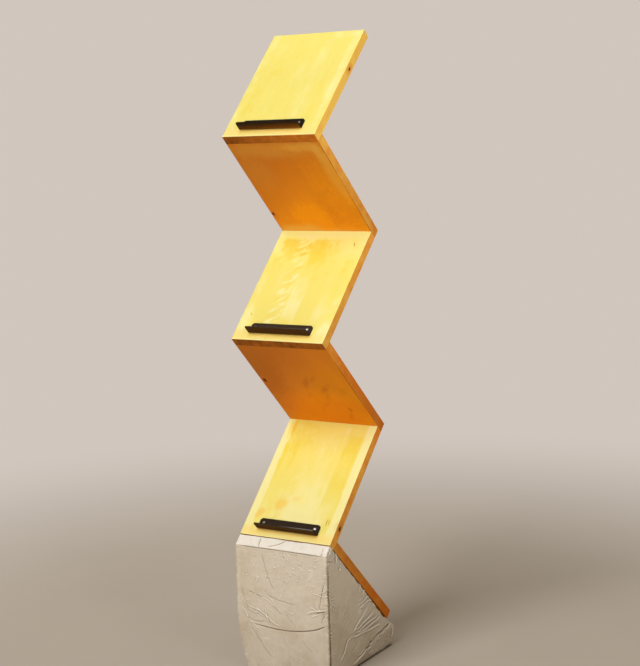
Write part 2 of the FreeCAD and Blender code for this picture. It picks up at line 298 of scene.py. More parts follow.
# Places where fine wrinkles crowd on the cast concrete, in millimetres on each face: the edges of the place,
# how many wrinkles and how long, their turn and its spread in degrees, and their depth and width
Zone = namedtuple("Zone", "left right low high count long turn spread depth width seed")
ZONES = {
    "front": (
        Zone(92, 146, 185, 262, 12, 30, 15, 40, 1.5, 1.3, 2),
        Zone(-148, -96, 118, 240, 14, 40, -38, 30, 1.5, 1.3, 3),
        Zone(-30, 120, 252, 352, 34, 7, 30, 80, -1.3, 1.7, 5),
        Zone(-125, -30, 262, 345, 18, 7, -60, 60, -1.2, 1.7, 6),
        Zone(-75, 10, 182, 236, 9, 38, -38, 22, 1.4, 1.3, 7),
        Zone(-130, 110, 25, 122, 14, 40, -55, 35, 0.8, 1.4, 8),
    ),
    "nose": (
        Zone(-140, 140, 4, 30, 8, 12, 60, 60, -1.2, 1.5, 9),
    ),
    "right": (
        Zone(-150, -105, 300, 368, 9, 28, 65, 25, -2.2, 1.8, 11),
        Zone(-172, -152, 330, 376, 7, 20, 70, 25, -2.0, 1.8, 17),
        Zone(-172, -150, 70, 340, 22, 13, 10, 60, -1.4, 1.6, 12),
        Zone(-25, 60, 150, 226, 9, 26, 30, 35, -2.0, 1.8, 13),
        Zone(-130, -50, 25, 170, 12, 46, 50, 25, -0.9, 1.8, 14),
        Zone(30, 165, 14, 68, 14, 20, 20, 35, -1.6, 1.6, 15),
        Zone(-60, 40, 8, 60, 8, 34, 22, 14, -1.6, 1.6, 16),
    ),
    "left": (
        Zone(-130, 90, 30, 210, 16, 70, -8, 60, 1.5, 2.2, 4),
    ),
    "rear": (
        Zone(-120, 90, 8, 50, 6, 40, -8, 50, 1.2, 1.8, 10),
    ),
}

# Creases in the cast concrete, in millimetres on each face. A positive depth is a groove and a negative one a
# ridge. Step is how far the left side of the line, seen along it from outside, stands above the right side.
Crease = namedtuple("Crease", "depth width step points")
CREASES = {
    "front": (
        Crease(1.8, 1.5, 0.8, ((-65, 351), (-54, 309), (-42, 273), (-27, 243))),
        Crease(1.6, 1.5, 0.8, ((-57, 233), (-38, 224), (-8, 216), (45, 210))),
        Crease(-1.2, 1.7, 0.4, ((-51, 228), (-32, 210), (-22, 191))),
        Crease(-1.8, 1.9, 0.6, ((-87, 185), (-51, 164), (-31, 149), (-11, 143))),
        Crease(2.8, 1.7, 2.0, ((-104, 138), (-52, 133), (15, 132), (95, 145), (148, 167))),
        Crease(1.2, 1.9, -1.2, ((-150, 299), (-139, 254), (-127, 217), (-112, 169))),
        Crease(1.4, 1.6, 1.0, ((-136, 175), (-123, 159), (-93, 146), (-58, 149))),
        Crease(1.8, 1.6, -0.8, ((-101, 115), (-82, 91), (-63, 65), (-40, 42))),
        Crease(1.8, 1.5, 0.8, ((146, 298), (133, 262), (121, 209))),
        Crease(1.8, 1.5, 0.8, ((150, 205), (136, 191), (126, 170))),
        Crease(1.2, 1.5, 0.4, ((61, 114), (73, 98), (95, 79))),
        Crease(-1.6, 2.2, 0.0, ((78, 191), (98, 200), (144, 210))),
        Crease(-1.2, 1.9, 0.0, ((109, 224), (115, 214), (127, 204))),
        Crease(3.0, 1.4, 0.0, ((-151, 361), (0, 362), (151, 361))),
        Crease(0.8, 2.0, 0.0, ((-149, 350), (-149, 250), (-147, 180))),
        Crease(-0.5, 4.0, 0.0, ((-141, 340), (-140, 250), (-136, 200))),
        Crease(-0.6, 5.0, 0.0, ((145, 350), (144, 300), (145, 220), (144, 120), (145, 20))),
        Crease(0.5, 5.0, 0.0, ((-150, 355), (0, 356), (140, 355))),
    ),
    "nose": (
        Crease(3.0, 1.6, 0.6, ((-76, 32), (-76, 13), (-73, 0))),
        Crease(2.6, 1.5, 0.8, ((8, 32), (-14, 18), (-45, 7))),
        Crease(2.4, 1.6, -0.8, ((132, 26), (134, 0))),
    ),
    "right": (
        Crease(-3.4, 2.4, 0.0, ((-54, 108), (-21, 130), (2, 141), (22, 154), (34, 157))),
        Crease(-3.4, 2.4, 0.0, ((-39, 111), (-16, 115), (8, 122), (37, 128), (59, 134), (67, 139))),
        Crease(-3.4, 2.4, 0.0, ((-35, 103), (-7, 107), (23, 113), (47, 115), (71, 116), (88, 120))),
        Crease(-3.4, 2.4, 0.0, ((-30, 99), (-1, 100), (26, 100), (53, 104), (81, 106), (104, 111))),
        Crease(-3.6, 2.6, 0.8, ((-57, 97), (-19, 94), (15, 93), (52, 90), (86, 90), (106, 87))),
        Crease(-2.2, 2.6, 0.0, ((-61, 101), (-80, 94), (-91, 82), (-96, 70), (-110, 59), (-124, 46))),
        Crease(-2.4, 2.0, 0.0, ((10, 222), (9, 210), (9, 197))),
        Crease(-2.4, 2.0, 0.0, ((1, 179), (16, 185), (29, 190), (45, 188))),
        Crease(-2.4, 2.0, 0.0, ((-8, 170), (8, 172), (25, 175), (45, 176), (58, 169))),
        Crease(-0.8, 2.0, 0.0, ((-39, 172), (-41, 155), (-52, 152), (-75, 146), (-91, 140))),
        Crease(3.4, 2.2, 1.0, ((152, 76), (143, 70), (126, 67), (112, 63), (84, 61), (67, 56))),
        Crease(2.2, 1.5, 1.0, ((72, 57), (58, 53), (44, 49), (30, 43), (16, 38))),
        Crease(-2.2, 1.6, 0.0, ((126, 88), (131, 79), (126, 73))),
        Crease(-2.0, 1.5, 0.0, ((154, 71), (143, 63), (132, 61))),
        Crease(-2.0, 1.5, 0.0, ((123, 60), (112, 56), (105, 56))),
        Crease(2.8, 1.7, 0.0, ((99, 52), (89, 50))),
        Crease(2.2, 1.6, 0.0, ((91, 43), (84, 39))),
        Crease(3.4, 2.2, 0.0, ((50, 52), (39, 47))),
        Crease(3.2, 1.9, 0.0, ((35, 46), (26, 41))),
        Crease(-2.8, 2.2, 0.0, ((22, 37), (2, 32), (-18, 27), (-38, 22), (-54, 18))),
        Crease(-2.0, 2.0, 0.0, ((14, 29), (-10, 23), (-40, 14))),
        Crease(-1.6, 2.0, 0.0, ((-119, 353), (-133, 330))),
        Crease(-1.4, 2.0, 0.0, ((-135, 372), (-142, 352))),
        Crease(1.8, 1.6, 0.6, ((-172, 350), (-158, 343), (-143, 341))),
        Crease(1.5, 2.6, 0.0, ((-171, 322), (-169, 290), (-172, 255), (-169, 220),
                               (-172, 180), (-169, 130), (-172, 60), (-171, 8))),
        Crease(-2.0, 2.2, 0.0, ((165, 61), (167, 45), (167, 27))),
    ),
}

# Pits in the concrete, in millimetres on each face. A negative depth is a pimple.
Pit = namedtuple("Pit", "across up radius depth")
PITS = {
    "front": (
        Pit(-79, 276, 5, -1.8),
        Pit(-102, 300, 4, 1.2),
        Pit(9, 343, 4, 1.4),
        Pit(52, 354, 4, 1.2),
        Pit(64, 327, 5, 1.2),
        Pit(40, 304, 4, -1.4),
        Pit(69, 293, 4, -1.4),
        Pit(8, 271, 4, 1.4),
        Pit(-57, 236, 3, 2.0),
        Pit(7, 247, 3, 2.0),
        Pit(16, 275, 4, -1.2),
        Pit(65, 291, 4, 1.2),
        Pit(29, 350, 4, -1.2),
        Pit(-18, 336, 4, -1.2),
        Pit(-30, 268, 3, 1.0),
        Pit(54, 256, 4, -1.0),
    ),
    "right": (
        Pit(45, 50, 6, 4.5),
        Pit(31, 44, 5, 3.5),
        Pit(19, 43, 4, 2.5),
        Pit(96, 52, 4, 2.5),
        Pit(87, 40, 4, 2.0),
    ),
    "nose": (
        Pit(144, 15, 15, -2.5),
    ),
}

# Look of the concrete: pores, hairlines, painted shade that deepens towards the floor and a painted contact
# shadow at the foot. Heights and relief are in metres.
PORE_SCALE = 190.0
PORE_EDGE = (0.1, 0.2)
HAIR_SCALE = 17.0
HAIR_WARP = 0.09
HAIR_EDGE = (0.004, 0.022)
FLOOR_SHADE_RISE = (0.0, 0.27)
FOOT_LINE = (0.0, 0.006)
FOOT_SHADE = 0.4
CONCRETE_RELIEF = 0.0007

# Fine wrinkles: their spans, the spread of their lengths, depths, bends and steps, and the share of ridges
WRINKLE_SPANS = 3
WRINKLE_LENGTHS = (0.6, 1.3)
WRINKLE_DEPTHS = (0.6, 1.4)
WRINKLE_BEND = 0.3
WRINKLE_STEP = 0.6
RIDGE_SHARE = 0.6

# How creases and pits are pressed in, in millimetres or as shares of a crease, and how strongly they are
# marked with painted shade and painted highlights
FINE_REACH = 6.0
STEP_REACH = 40.0
STEP_FADE = 14.0
CREASE_TAPER = 0.14
BLUNT_END = 0.2
DARK_GROOVE = 3.2
GROOVE_LIP = 0.4
PALE_RIDGE = 2.0
RIDGE_LIP = 0.45
PIT_CORE = 0.6
DARK_PIT = 3.0
PIMPLE_MARK = -0.6

# Form of the casting in millimetres: nose, bulges, front arrises, seam and lump at the toe, and foot. The
# bulges' noise has a rate per millimetre, a gain, a lacunarity and octaves.
NOSE_DEPTH = 22.0
NOSE_DROP = 26.0
BULGE_RATE = 0.02
BULGE_NOISE = (1.0, 2.0, 4)
BULGE_HEIGHT = 1.1
ARRIS_WOBBLE = 0.7
ARRIS_REACH = 8.0
SEAM_HEIGHT = 65.0
SEAM_END = 150.0
SEAM_FALL = 0.22
SEAM_TUCK = 0.1
LUMP_PLACE = (172.0, 54.0)
LUMP_HEIGHT = 6.0
LUMP_REACH = math.sqrt(350.0)
FOOT_REACH = 3.0
FOOT_TUCK = 6.0

# The joint under the foot board, in millimetres: its gap, how it opens beside the board, and its scallops,
# each a height, a rate in radians per millimetre and a start
BOARD_END = 135.0
JOINT_START = (-150.0, -125.0)
JOINT_RUN = (10.0, 130.0)
JOINT_SIDES = (105.0, 149.0)
JOINT_GAP = 0.4
JOINT_OPENING = 1.9
JOINT_WIDENING = 4.5
JOINT_WAVES = ((1.2, 0.23, 0.0), (0.9, 0.51, 2.0), (0.6, 0.97, 5.0))

# How far a vertex of the casting has to be turned to count as part of a face
CAST_TURN = (0.55, 0.85)
NOSE_TURN = (0.25, 0.5)
SLOPE_TURN = 0.6
UNDERSIDE_TURN = (0.6, 0.9)
UNDERSIDE_LEAN = -0.5
FLAT_LEAN = -0.9

# Painted shade on the flanks, darkening below the seam and on the front right arris, a painted contact shadow
# at the foot, and the nose and a corner painted pale as painted light. Heights and reaches are in
# millimetres, and the nose's heights count from its top.
FLANK_SHADE = 0.11
FLANK_GAIN = 0.05
FLANK_RISE = (0.0, 150.0)
SEAM_DARKENING = 0.2
SEAM_SOFT = (0.0, 14.0)
DARK_ARRIS = 0.42
DARK_ARRIS_FOOT = 0.2
DARK_ARRIS_REACH = 9.0
DARK_ARRIS_RISE = (40.0, 200.0)
DARK_ARRIS_TOP = (325.0, 350.0)
FOOT_SHADOW = 0.9
NOSE_PALE = 0.62
NOSE_RISE = (-48.0, -26.0)
CORNER_PALE = 0.4
CORNER_RISE = (330.0, 355.0)
CORNER_PLACE = 146.0
CORNER_REACH = 6.0

# How far the left flank stands inside its plane at heights above the floor, in millimetres
LEFT_HEIGHTS = (0, 20, 48, 75, 100, 130, 165, 200, 260, 320, 363, 389)
LEFT_INSETS = (24, 19, 12, 5, 1, -2.5, -5, -6, -5.5, -4, -2.5, 0)
LEFT_START = -40.0  # how far left of the middle that begins

# Camera, found from the corners of the boards. Angles are in radians, and the picture is 640 by 666.
CAMERA_PLACE = (2.2964, -3.5417, 1.5458)
CAMERA_YAW = -0.5660
CAMERA_PITCH = -0.14079
CAMERA_ROLL = -0.03796
CAMERA_LENS = 81.66
CAMERA_SENSOR = 36.0

# Softboxes, square lamps that look at a point. The small ones only fill in and stay out of reflections.
Softbox = namedtuple("Softbox", "name place aim size spread")
SOFTBOXES = (
    Softbox("key", (-1.6, -10.6, 12.8), (0.0, 0.0, 0.95), 7.6, math.pi),
    Softbox("side", (2.4, -0.9, 1.75), (0.1, 0.0, 1.36), 0.9, math.radians(50)),
    Softbox("low", (-0.1, -1.6, 0.06), (0.0, 0.0, 1.15), 0.5, math.radians(50)),
)
SMALL_SOFTBOX = 1.0

# Floor: a disc that fades into the backdrop over a range of distances
FLOOR_RADIUS = 40.0
FLOOR_SIDES = 96
FLOOR_FADE = (0.9, 3.2)


def tint(red, green, blue):
    """A colour written as it looks on screen, 0 to 255, as the linear values that shaders take."""
    shares = (value / 255 for value in (red, green, blue))
    return tuple(v / 12.92 if v <= 0.04045 else ((v + 0.055) / 1.055) ** 2.4 for v in shares)


def colour_property(name, description, default):
    """A colour that a user can change."""
    return FloatVectorProperty(name=name, description=description, default=default, subtype="COLOR",
                               size=3, min=0.0, max=1.0)


def share_property(name, description, default):
    """A share that a user can change."""
    return FloatProperty(name=name, description=description, default=default, subtype="FACTOR", min=0, max=1)


def length_property(name, description, default, least=0.0):
    """A length that a user can change."""
    return FloatProperty(name=name, description=description, default=default, subtype="DISTANCE",
                         unit="LENGTH", min=least)


def power_property(name, description, default):
    """The power of a lamp, which a user can change."""
    return FloatProperty(name=name, description=description, default=default, unit="POWER", min=0)


class BoardSettings(bpy.types.PropertyGroup):
    """Colours and grain of the boards and dowels."""

    # The upper face, the sides and the underside are lit and shaded copies of one lacquered wood: the pale
    # upper face is painted light, the honey to amber sides and the orange underside are painted shade, and
    # the underside glow is painted light from the shelf below.
    face: colour_property("Upper face", "Lacquered wood where it faces up", tint(245, 228, 120))
    face_pale: colour_property("Pale figure", "Bleached patches on upper faces", tint(249, 239, 165))
    face_deep: colour_property("Deep figure", "Darker patches on upper faces", tint(243, 219, 86))
    # Stains is also the colour of the painted shadow at the foot of the ledges' lips.
    stain_and_lip_shade: colour_property("Stains", "Orange stains on upper faces", tint(251, 194, 80))
    side: colour_property("Honey side", "Sides of the palest board", tint(248, 197, 88))
    side_deep: colour_property("Amber side", "Sides of the deepest boards", tint(222, 120, 22))
    # Painted light: the rear strip is paler and greener, offsetting the orange light reflected from the
    # underside above.
    face_rear: colour_property("Rear strip", "Bleached wood at a rear joint", tint(246, 243, 148))
    # Painted light: the strip in front of a ledge is paler, against the shade of its lip.
    face_front: colour_property("Front strip", "Upper faces in front of the ledges", tint(254, 227, 136))
    under: colour_property("Underside", "Underside where it is in shade", tint(226, 128, 30))
    # The sheen and the blush are painted sheens of light on the undersides.
    under_sheen: colour_property("Underside sheen", "Ochre sheen near the joints", tint(242, 172, 68))
    under_blush: colour_property("Underside blush", "Reddish sheen low on the returns", tint(250, 138, 16))
    under_stain: colour_property("Underside stains", "Reddish smudges on undersides", tint(212, 98, 6))
    under_glow: colour_property("Underside glow", "Where the shelf below lights it", tint(250, 154, 18))
    end: colour_property("End grain", "Cut ends of the boards", tint(204, 116, 34))
    end_deep: colour_property("End grain rings", "Late wood on the cut ends", tint(160, 86, 22))
    knot: colour_property("Knots", "Pin knots", tint(84, 36, 10))
    dowel: colour_property("Dowels", "Dowels inside the joints", tint(214, 178, 126))
    roughness: share_property("Roughness", "Satin of the lacquer", 0.42)
    fibre_depth: length_property("Fibre depth", "Relief of the grain", 0.00012)


class SteelSettings(bpy.types.PropertyGroup):
    """Colours of the ledges and the fixings."""

    paint: colour_property("Ledge paint", "Black paint on the book ledges", tint(29, 21, 15))
    # Rubbed paint is also the colour of the painted grey sheen on the flanges.
    wear_and_sheen: colour_property("Rubbed paint", "Paint worn along the edges", tint(72, 56, 44))
    # The lip's brown is a painted reflection of the wood below the ledge.
    lip: colour_property("Ledge lip", "Brown glow at the foot of the lips", tint(136, 78, 5))
    screw: colour_property("Screws", "Bright screws in the ledges", tint(196, 196, 193))
    zinc: colour_property("Zinc", "Plated bolts, washers and sockets", tint(186, 188, 186))
    paint_roughness: share_property("Paint roughness", "Satin of the black paint", 0.45)


class ConcreteSettings(bpy.types.PropertyGroup):
    """Colour and mesh of the cast base."""

    cement: colour_property("Cement", "Dry concrete", tint(233, 219, 200))
    stain: colour_property("Stain", "Damp and yellowed patches", tint(219, 202, 175))
    # Dirt is the colour of the painted shade on the concrete, and of its open pores. Rubbed is the colour of
    # the painted highlights on ridges, the nose and a corner, and of hairlines.
    dust_and_shade: colour_property("Dirt", "Dust in creases and pits", tint(96, 78, 58))
    rubbed_and_highlight: colour_property("Rubbed ridges", "Bare cement on ridges and rims", tint(252, 245, 235))
    crease_depth: FloatProperty(name="Crease depth", description="Scale of the creases and pits", default=1.0,
                                min=0, max=3)
    cell: length_property("Cell", "Size of the mesh's squares", 0.0022, 0.001)


class StageSettings(bpy.types.PropertyGroup):
    """Floor, backdrop and lamps."""

    backdrop: colour_property("Backdrop", "Pale backdrop behind the shelf", tint(208, 198, 189))
    floor: colour_property("Floor", "Pale floor", tint(196, 185, 173))
    ambient: colour_property("Room light", "Light from all round", (0.365, 0.34, 0.283))
    key: power_property("Key", "Power of the softbox above the front", 1450.0)
    side: power_property("Side", "Power of the softbox on the right", 3.2)
    low: power_property("Low", "Power of the softbox on the floor in front", 0.8)


class BookshelfSettings(bpy.types.PropertyGroup):
    """Everything that a user can change."""

    boards: PointerProperty(type=BoardSettings)
    steel: PointerProperty(type=SteelSettings)
    concrete: PointerProperty(type=ConcreteSettings)
    stage: PointerProperty(type=StageSettings)


class Shade:
    """One output of a shader node. Arithmetic on it adds Math nodes, so a mask reads as a formula."""

    def __init__(self, tree, socket=None):
        self.tree = tree
        self.socket = socket

    def node(self, kind, settings=None, inputs=None, output=0):
        """Adds a node: its settings first, then the values or links of its sockets."""
        node = self.tree.nodes.new(kind)
        for name, value in (settings or {}).items():
            if name == "stops":
                fill_ramp(node.color_ramp, value)
            else:
                setattr(node, name, value)
        for name, value in (inputs or {}).items():
            if isinstance(value, Shade):
                self.tree.links.new(value.socket, node.inputs[name])
            else:
                node.inputs[name].default_value = value
        return Shade(self.tree, node.outputs[output] if node.outputs else None)

    def math(self, operation, *values):
        return self.node("ShaderNodeMath", {"operation": operation}, dict(enumerate(values)))

    def __add__(self, other):
        return self.math("ADD", self, other)

    def __radd__(self, other):
        return self.math("ADD", other, self)

    def __sub__(self, other):
        return self.math("SUBTRACT", self, other)

    def __rsub__(self, other):
        return self.math("SUBTRACT", other, self)

    def __mul__(self, other):
        return self.math("MULTIPLY", self, other)

    def __rmul__(self, other):
        return self.math("MULTIPLY", other, self)

    def __truediv__(self, other):
        return self.math("DIVIDE", self, other)

    def __abs__(self):
        return self.math("ABSOLUTE", self)

    def sine(self):
        return self.math("SINE", self)

    def ramp(self, low, high):
        """A soft step from 0 at low to 1 at high."""
        return self.node("ShaderNodeMapRange", {"interpolation_type": "SMOOTHSTEP"},
                         {"Value": self, "From Min": low, "From Max": high}, "Result")

    def length(self):
        """The length of this vector."""
        return self.node("ShaderNodeVectorMath", {"operation": "LENGTH"}, {0: self}, "Value")

    def dot(self, axis):
        """This vector's share along an axis."""
        return self.node("ShaderNodeVectorMath", {"operation": "DOT_PRODUCT"}, {0: self, 1: axis}, "Value")

    def noise(self, scale, detail=2.0, roughness=0.5, distortion=0.0):
        """Soft noise over this vector, about 0.5 on average."""
        return self.node("ShaderNodeTexNoise", {}, {"Vector": self, "Scale": scale, "Detail": detail,
                                                    "Roughness": roughness, "Distortion": distortion}, "Fac")


def fill_ramp(ramp, stops):
    """Gives a colour ramp stepped grey stops, each a place and a value."""
    ramp.interpolation = "CONSTANT"
    for _ in range(len(stops) - 2):
        ramp.elements.new(0.5)
    for element, (place, value) in zip(ramp.elements, stops):
        element.position = place
        element.color = (value, value, value, 1.0)


def vector(x, y, z):
    """Three values as one vector; at least the first is a Shade."""
    return x.node("ShaderNodeCombineXYZ", {}, {0: x, 1: y, 2: z})


def mix(share, first, second):
    """The first colour turning into the second as share goes from 0 to 1."""
    first, second = (colour if isinstance(colour, Shade) else (*colour, 1.0) for colour in (first, second))
    return share.node("ShaderNodeMix", {"data_type": "RGBA"}, {0: share, 6: first, 7: second}, 2)


def scale_colour(colour, amount):
    """A colour made lighter or darker by an amount that varies."""
    colour = colour if isinstance(colour, Shade) else tuple(colour)
    return amount.node("ShaderNodeVectorMath", {"operation": "SCALE"}, {0: colour, "Scale": amount}, "Vector")


def new_finish(name):
    """An empty material and the start of its node tree."""
    material = bpy.data.materials.new(name)
    material.use_nodes = True
    material.node_tree.nodes.clear()
    return material, Shade(material.node_tree)


def finish(root, height, distance, sockets):
    """Ends a material in one Principled shader, with a bump from height."""
    bump = root.node("ShaderNodeBump", {}, {"Strength": 1.0, "Distance": distance, "Height": height})
    shader = root.node("ShaderNodeBsdfPrincipled", {}, {**sockets, "Normal": bump})
    root.node("ShaderNodeOutputMaterial", {}, {"Surface": shader})


def dress(node_name, material):
    """Gives a CAD node its material."""
    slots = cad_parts[node_name].data.materials
    slots.clear()
    slots.append(material)


def local_axes(root, centre, axes):
    """Distances from a centre along three axes, as Shades over the surface."""
    point = root.node("ShaderNodeTexCoord", output="Object")
    return [point.dot(axis) - Vector(axis).dot(centre) for axis in axes]


def stave_ramp(across, width, seed):
    """A tone for each glued stave of a board, stepped across it."""
    draw = random.Random(seed)
    stops = [(0.0, draw.random())]
    while stops[-1][0] < LAST_STAVE:
        stops.append((stops[-1][0] + draw.uniform(*STAVE_WIDTHS), draw.random()))
    return across.node("ShaderNodeValToRGB", {"stops": stops[:-1]}, {0: across / width + 0.5})


def knot_cover(local, knot, radius_share):
    """1 in the middle of a knot, 0 outside it; longer along the grain."""
    across, along, up = local
    radius = knot.radius * radius_share * MM
    offset = vector(across - knot.across * MM, (along - knot.along * MM) * KNOT_SQUEEZE, up - knot.up * MM)
    return 1 - offset.length().ramp(KNOT_CORE * radius, radius)


def patch_sum(local, patches, uneven):
    """A board's patches added up, with their edges made uneven; 0 all over for a board that has none."""
    across, along, _ = local
    place = vector(across, along, 0.0)
    total = uneven * 0.0
    for patch in patches:
        offset = place.node("ShaderNodeMapping", {"vector_type": "TEXTURE"},
                            {"Vector": place, "Location": (patch.across * MM, patch.along * MM, 0.0),
                             "Rotation": (0.0, 0.0, math.radians(patch.turn)),
                             "Scale": (patch.wide * MM, patch.long * MM, 1.0)})
        total = total + (1 - (offset.length() + uneven).ramp(*PATCH_EDGE)) * patch.amount
    return total


def stave_sum(local, staves, uneven):
    """A board's staves that stand out, with straight sides and soft ends; 0 all over if there are none."""
    across, along, _ = local
    reach = along + uneven * STAVE_FADE
    total = uneven * 0.0
    for stave in staves:
        left, right, front, rear = (edge * MM for edge in stave[:4])
        inside = across.ramp(left - STAVE_EDGE, left + STAVE_EDGE)
        inside = inside * (1 - across.ramp(right - STAVE_EDGE, right + STAVE_EDGE))
        inside = inside * reach.ramp(front - STAVE_FADE, front + STAVE_FADE)
        inside = inside * (1 - reach.ramp(rear - STAVE_FADE, rear + STAVE_FADE))
        total = total + inside * stave.amount
    return total


class BoardWood:
    """The birch of one board: its figure, as Shades about 0, and the colours of its faces, with painted light
    and shade.
    """

    def __init__(self, board, look, root):
        self.board = board
        self.look = look
        low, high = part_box(board.node)
        self.width = high.x - low.x
        shelf = board.rise > 0
        along_axis, up_axis = (REAR_UP, FRONT_UP) if shelf else (FRONT_UP, REAR_UP)
        self.local = local_axes(root, (low + high) / 2, ((1, 0, 0), along_axis, up_axis))
        facing = root.node("ShaderNodeNewGeometry", output="True Normal")
        self.faces_up = facing.dot(up_axis).ramp(*FACE_TURN)
        self.faces_down = (0 - facing.dot(up_axis)).ramp(*FACE_TURN)
        self.faces_end = abs(facing.dot(along_axis)).ramp(*END_TURN)

        self.stave = stave_ramp(self.local[0], self.width, board.seed)
        self.streaks = self.figure(STREAKS, self.stave * STAVE_SHIFT)
        self.fibres = self.figure(FIBRES, self.stave)
        self.blotch = self.figure(BLOTCH)
        self.cloud = self.figure(CLOUD)
        soft = self.blotch * (SHELF_BLOTCH if shelf else 1.0) + self.cloud * 0.7
        ragged = soft if shelf else soft + self.figure(CRUMBS) * CRUMBLE
        patches = patch_sum(self.local, PATCHES.get(board.node, ()), ragged)
        self.sheen = patch_sum(self.local, SHEENS_AND_STAINS.get(board.node, ()), soft)
        self.above = self.below = self.cloud
        if shelf:
            self.above = patches + stave_sum(self.local, STAVES.get(board.node, ()), soft)
        else:
            self.below = patches

    def figure(self, figure, shift=0.0):
        """One kind of figure in the wood; a shift sets the staves apart."""
        across, along, up = self.local
        place = vector(across, along * figure.along, up + shift + self.board.seed)
        return place.noise(figure.scale, figure.detail, figure.roughness, figure.distortion) - 0.5

    def paleness(self):
        """How pale the upper face is: its patches, wavy figure, grain, and the strips along its sides."""
        across, along, up = self.local
        curl_across = across * CURL_COS + along * CURL_SIN
        curl_along = along * CURL_COS - across * CURL_SIN
        curl_place = vector(curl_across * CURL_WIDE, curl_along * CURL_LONG, up + self.board.seed)
        waves = curl_place.noise(1.0, 1.0, 0.5, 0.5) - 0.5
        curl_zone = (1 - abs(across + CURL_CENTRE).ramp(*CURL_EDGE)) * self.board.curl
        pale = self.above + waves * curl_zone * CURL_DEPTH + PALE_START
        pale = pale + self.streaks * 0.5 + self.blotch * 1.1 + self.cloud * 0.5 + (self.stave - 0.5) * 0.25
        aside = abs(across) + self.blotch * 0.014 + self.cloud * 0.004
        band = aside.ramp(self.width * BAND_EDGE[0], self.width * BAND_EDGE[1]) * self.board.bands
        return pale + band * BAND_DEPTH

    def upper(self):
        """Pale and deep figure, stains, scratches, and the painted light and shade in strips near both ends
        of a shelf.
        """
        board, look = self.board, self.look
        across, along, _ = self.local
        pale = self.paleness()
        # Painted light: the rear of the upper face fades to the paler, greener rear colour.
        colour = mix(along.ramp(*REAR_LIGHT_FADE) * board.rear, look.face, look.face_rear)
        colour = mix((0 - pale).ramp(*DEEP_FIGURE), colour, look.face_deep)
        colour = mix((0 - pale).ramp(*STAINED_FIGURE), colour, look.stain_and_lip_shade)
        colour = mix((0 - pale).ramp(*SCRATCHED_FIGURE) * 0.7, colour, look.knot)
        colour = mix(pale.ramp(*PALE_FIGURE), colour, look.face_pale)
        # On a shelf the sheen patches are orange stains.
        colour = mix(self.sheen, colour, look.stain_and_lip_shade)
        # Painted light at the rear joint itself.
        colour = mix(along.ramp(*REAR_STRIP) * board.rear, colour, look.face_rear)
        # Painted light: the strip in front of the ledge is paler, against the shade of its lip.
        colour = mix((0 - along).ramp(*FRONT_STRIP) * (0.75 + self.blotch), colour, look.face_front)
        # A painted shadow at the foot of the ledge's lip, orange with light reflected from the lip.
        lip_shadow = along.ramp(*LIP_FRONT) * (1 - along.ramp(*LIP_REAR)) * (1 - abs(across).ramp(*LIP_ENDS))
        colour = mix(lip_shadow * 0.5, colour, look.stain_and_lip_shade)
        # A painted highlight along the front arris.
        colour = mix((0 - along).ramp(*FRONT_ARRIS_HIGHLIGHT) * 0.6, colour, look.face_pale)
        # Painted light lifts the shade in the inner corner at the rear of the face.
        colour = scale_colour(colour, board.face + along.ramp(*REAR_CORNER_LIGHT) * 0.06)
        # A return's upper face, which faces the rear, is painted halfway to the side's colour as painted
        # shade.
        return colour if board.rise > 0 else mix(self.cloud * 0.6 + 0.5, colour, look.side)

    def side(self):
        """Painted shade on a side: honey to amber, deepest on the boards near the floor, paler towards the
        front end.
        """
        board, look = self.board, self.look
        along = self.local[1]
        honey = board.honey + self.cloud * 0.9 + self.blotch * 0.9 - along * board.rise * 0.6
        colour = mix(honey, look.side_deep, look.side)
        return scale_colour(colour, board.side + self.streaks * 0.3 + along * 0.25)

    def lower(self):
        """Painted shade, painted glow from the shelf below, painted sheens, and smudges on an underside."""
        board, look = self.board, self.look
        across, along, _ = self.local
        glow = (across * 0.55 - along + self.blotch * 0.06).ramp(*GLOW)
        colour = mix(glow + self.below.ramp(-0.6, 0.6) - 0.5, look.under, look.under_glow)
        # Painted sheens: ochre, and reddish where the amount is negative.
        colour = mix(self.sheen, colour, look.under_sheen)
        colour = mix(0 - self.sheen, colour, look.under_blush)
        colour = mix((0 - self.below).ramp(0.1, 0.6) * 0.7, colour, look.under_stain)
        corner = (along * 0.6 - across * 0.8).ramp(*SHADED_CORNER) * board.shade
        shadow = self.below.ramp(-1.0, 0.2) * 0.12 - 0.12 - corner
        return scale_colour(colour, board.under * (1.0 + self.streaks * 0.07 + self.blotch * 0.1 + shadow))

    def end(self):
        """Growth rings, specks and smudges on a cut end."""
        board, look = self.board, self.look
        across, along, up = self.local
        radius = vector(across - RING_CENTRE[0], up - RING_CENTRE[1], 0.0).length()
        rings = ((radius + self.blotch * 0.01) * RING_RATE).sine() * 0.5
        specks = vector(across, along, up).noise(1400.0, 2.0, 0.6) - 0.5
        smudge = vector(across, up * 0.6, float(board.seed)).noise(60.0, 3.0, 0.65) - 0.5
        colour = mix(0.3 + rings * 0.5 + specks * 0.8 + self.cloud, look.end, look.end_deep)
        tone = board.end + across * board.tilt + smudge * 1.1 + (self.stave - 0.5) * 0.16
        return scale_colour(colour, tone)


